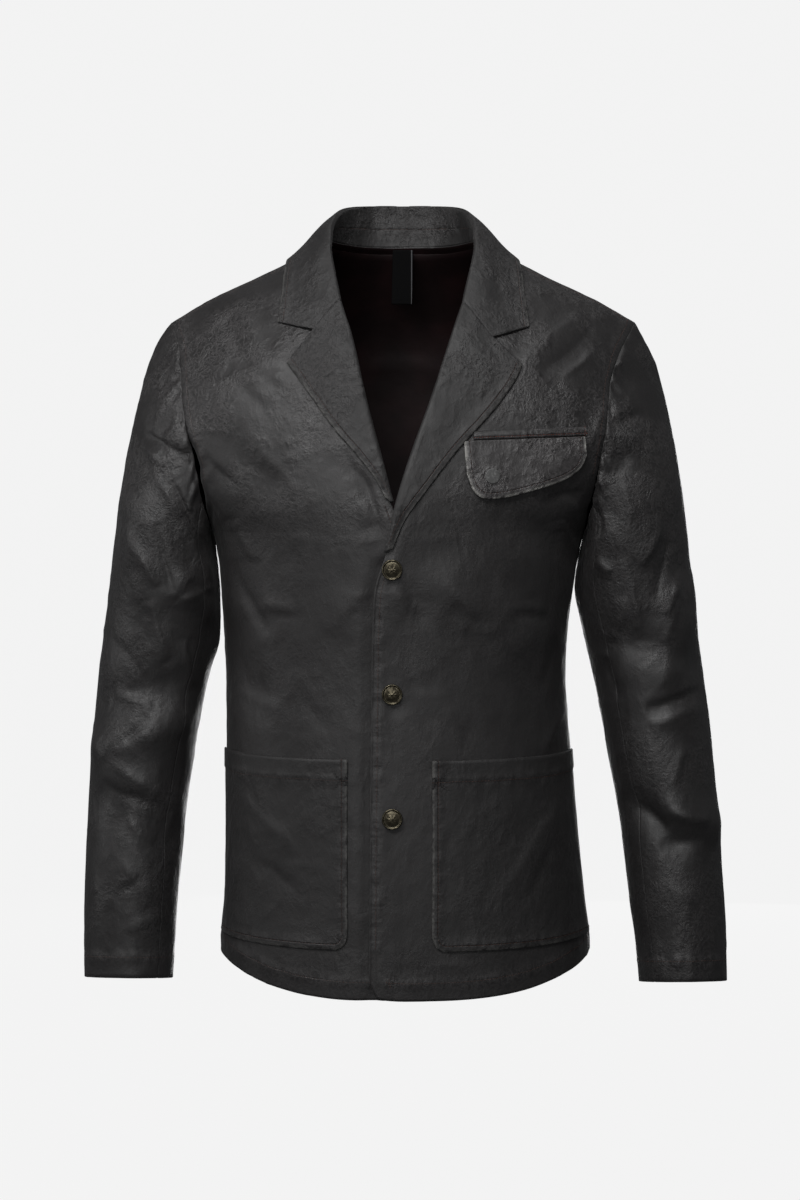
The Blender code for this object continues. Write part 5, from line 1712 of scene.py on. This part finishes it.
def all_looks():
    """Every material of the part."""
    return Looks(
        plain=coated_cloth("coated_cloth", 1.15),
        # the sleeves' cloth is darker (tone 0.9): painted shade
        sleeved=coated_cloth("coated_cloth_sleeves", 1.4, tone=0.9, spread=0.3),
        # tone 0.8 darkens the lapels, collar and pockets: painted shade; the bared edges are real wear
        edged=coated_cloth("coated_cloth_worn_edges_painted_shade", 2.0, wear=0.2, dullness=0.64, tone=0.8),
        # tone 1.9 lightens the whole flap: painted highlight; its bared edges are real wear
        creased=coated_cloth("coated_cloth_creased_flap_painted_highlight", 2.6, wear=0.9, dullness=0.48, tone=1.9),
        lining=satin_lining(),
        brass=aged_brass(),
        snap=dark_snap(),
        tape=woven_tape(),
        brown=thread("brown_thread", (0.030, 0.014, 0.010), (0.075, 0.036, 0.027)),
        rust=thread("rust_thread", (0.10, 0.018, 0.010), (0.22, 0.042, 0.022)),
    )


PIECE_NAMES = {"back_lining": "lining_cloth", "neck_label": "neck_label_tape"}


def dress(sewn, node, outer, inner, finishes, runs=(), seams=None, **options):
    """Replaces a node by a sheet of cloth, and keeps what its stitches need."""
    name = PIECE_NAMES.get(node, node + "_cloth")
    piece = closed_cloth(name, outer, inner, finishes, seams, **options)
    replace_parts(piece, node)
    sewn[node] = piece, outer, runs


NOTCH_COLUMN = 6  # of a lapel's and the fall's coarse rows


def trim_grids(points, normals):
    """The lapels and the collar on the smooth shell, joined at the gorge and inside the fall."""
    lapels = {}
    for side, name in SIDES.items():
        coarse = [vectors(grids["front_" + name][::FINE, ::FINE]) for grids in (points, normals)]
        lapels[side] = lapel_sections(side, *coarse)
    fall = fall_grid(lapels)
    rows = {"lapel_" + name: lapels[side] for side, name in SIDES.items()}
    rows |= {"collar_fall": fall, "collar_stand": stand_grid(fall)}
    trim = {name: refined(array(lines), TRIM_DOWN, FINE) for name, lines in rows.items()}
    for side, name in SIDES.items():
        top = cornered(array(lapels[side])[-1], FINE, NOTCH_COLUMN)
        pin(trim["lapel_" + name], "top", top, TURN_REACH)
        end = cornered(array(fall)[-1 if side == LEFT else 0], FINE, NOTCH_COLUMN)
        pin(trim["collar_fall"], "top" if side == LEFT else "bottom", end, TURN_REACH)
    return trim


def sew_shell(sewn, points, own, shared, looks):
    for name, grid in points.items():
        runs = shell_runs(name, grid)
        seams = sew(grid, own[name], runs, SHELL_PUCKER)
        inner = inner_side(grid, shared[name], own[name], VISIBLE_CLOTH)
        cloth = looks.sleeved if family(name) == "sleeve" else looks.plain
        dress(sewn, name, grid, inner, (cloth, looks.lining), runs, seams, crisp=True)


TRIM_LINES = {  # border, inset, first and last share, and whether the border is worn
    "lapel_right": ("outer", EDGE_INSET, 0.02, 0.99, 1.0),
    "lapel_left": ("outer", EDGE_INSET, 0.02, 0.99, 1.0),
    "collar_fall": ("outer", EDGE_INSET, 0.0, 1.0, 1.0),
    "collar_stand": ("inner", 18.0),
}


def sew_trim(sewn, trim, edged):
    own, shared = own_and_shared(trim)
    for name, grid in trim.items():
        runs = [run_inside(grid, *TRIM_LINES[name])]
        depth = CLOTH if name == "collar_stand" else FOLDED
        inner = inner_side(grid, shared[name], own[name], depth)
        dress(sewn, name, grid, inner, (edged,), runs, sew(grid, own[name], runs))


def sew_pockets(sewn, points, own, edged):
    for side, name in SIDES.items():
        front = "front_" + name
        inner, outer = pocket_points(side, points[front], own[front])
        edges = [run_inside(outer, border, EDGE_INSET, 0.02, 1.0, 1.0) for border in ("inner", "bottom")]
        runs = [*edges, run_inside(outer, "top", POCKET_BAND)]
        seams = sew(outer, normals_of(outer, FORWARD), runs)
        dress(sewn, "patch_pocket_" + name, outer, inner, (edged,), runs, seams)


FLAP_LINES = {"top": (0.03, 0.98), "inner": (0.0, 0.92), "outer": (0.0, 0.8)}
WELT_LINE = 1.8  # inset of the welt's stitch lines
SUNK = 0.2  # metal parts start this far off the cloth


def sew_chest(sewn, chest, looks):
    """The chest pocket's welt and flap, and the flap's snap."""
    inner, outer = welt_points(chest)
    runs = [run_inside(outer, border, WELT_LINE) for border in ("bottom", "outer")]
    dress(sewn, "chest_welt", outer, inner, (looks.plain,), runs, seam_places(outer, runs))
    inner, outer = flap_points(chest)
    runs = [run_inside(outer, border, EDGE_INSET, *ends, 1.0) for border, ends in FLAP_LINES.items()]
    seams = sew(outer, normals_of(outer, FORWARD), runs)
    dress(sewn, "chest_flap", outer, inner, (looks.creased,), runs, seams)
    foot, normal = laid(tree_of(outer), SNAP_X, SNAP_Z, SUNK)
    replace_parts(turned("snap_cap", foot, normal, SNAP_RINGS, looks.snap, "snap_metal"), "flap_snap")


def set_buttons(chest, brass):
    for number, z in enumerate(BUTTON_Z, 1):
        foot, normal = laid(chest, BUTTON_X, z, SUNK)
        name = f"brass_button_{number}"
        button = turned(name, foot, normal, BUTTON_RINGS, brass, "antique_brass", rosette)
        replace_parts(button, f"button_{number}")


def sew_lining(sewn, back, arrows, satin):
    """The lining inside the back, from the neck seam down to the hem, clear of the side seams."""
    top = back.shape[0] - 1
    kept = np.arange(3 * FINE, top, 2), np.arange(BACK_ACROSS, back.shape[1] - BACK_ACROSS, 2)
    gaps = 0.8 + 1.7 * smooth((top - kept[0]) / FINE)
    arrows = arrows[np.ix_(*kept)]
    outer = back[np.ix_(*kept)] - arrows * (VISIBLE_CLOTH + gaps)[:, None, None]
    dress(sewn, "back_lining", outer, outer - arrows * LINING, (satin,), slot="lining")


LABEL_Y, LABEL_TOP, LABEL_THICK = 62.7, -7.5, 1.0
LABEL_ASIDE, LABEL_BACK = 1.2, 2.0  # how far its foot is from straight below its top


def sew_label(sewn, tape):
    """The bare tab, which hangs a little to one side and backwards."""
    share, across = np.meshgrid(np.linspace(0, 1, 40), np.linspace(-0.5, 0.5, 16), indexing="ij")
    x, y = LABEL_WIDTH * across - LABEL_ASIDE * share, LABEL_Y + LABEL_BACK * share
    outer = np.stack([x, y, LABEL_TOP - LABEL_DROP * share], -1)
    dress(sewn, "neck_label", outer, outer + (0, LABEL_THICK, 0), (tape,), slot="label_tape")


def hangs():
    """How each sheet is held, and what it rests on."""
    found = {
        "back": ("hung", ["collar_stand_cloth"]), "back_lining": ("laid", ["back_cloth"]),
        "collar_fall": ("folded", ["collar_stand_cloth"]), "collar_stand": ("hung", ["back_cloth"]),
        "chest_welt": ("laid", ["front_left_cloth"]), "chest_flap": ("hung", ["front_left_cloth"]),
        "neck_label": ("hung", ["lining_cloth"]),
    }
    for side in SIDES.values():
        front = f"front_{side}_cloth"
        found["front_" + side] = "hung", ["back_cloth"]
        found["sleeve_top_" + side] = "hung", [front, "back_cloth"]
        found["sleeve_under_" + side] = "hung", [f"sleeve_top_{side}_cloth"]
        found["lapel_" + side] = "folded", [front]
        found["patch_pocket_" + side] = "laid", [front]
    return found


LINE_STEP, THREAD_LIFT = 2.0, 0.1
WELT_STITCHES = 2.6, 1.7, 0.5  # pitch, length and thickness


def stitch_and_declare(sewn, looks):
    """Sets the stitches of every sheet."""
    tree, held = stitch_tree(), hangs()
    for name, (piece, grid, runs) in sewn.items():
        sewing = []
        if runs:
            surface = tree_of(grid)
            lines = [snapped(surface, even(run.points, LINE_STEP), THREAD_LIFT) for run in runs]
            yarn = (looks.rust, *WELT_STITCHES) if name == "chest_welt" else (looks.brown,)
            sewing = [stitches(name + "_stitches", tree, lines, *yarn)]
        declare(piece, *held[name], sewing)


def main():
    camera()
    studio()
    looks = all_looks()
    points, normals = smooth_shell()
    trim = trim_grids(points, normals)
    trees = [tree_of(trim[name]) for name in ("lapel_right", "lapel_left", "collar_fall")]
    points, own, shared = worn_shell(points, normals, trees)
    sewn = {}
    sew_shell(sewn, points, own, shared, looks)
    sew_trim(sewn, trim, looks.edged)
    sew_pockets(sewn, points, own, looks.edged)
    chest = tree_of(points["front_left"])
    sew_chest(sewn, chest, looks)
    set_buttons(chest, looks.brass)
    sew_lining(sewn, points["back"], shared["back"], looks.lining)
    sew_label(sewn, looks.tape)
    stitch_and_declare(sewn, looks)


main()
bpy.context.view_layer.update()
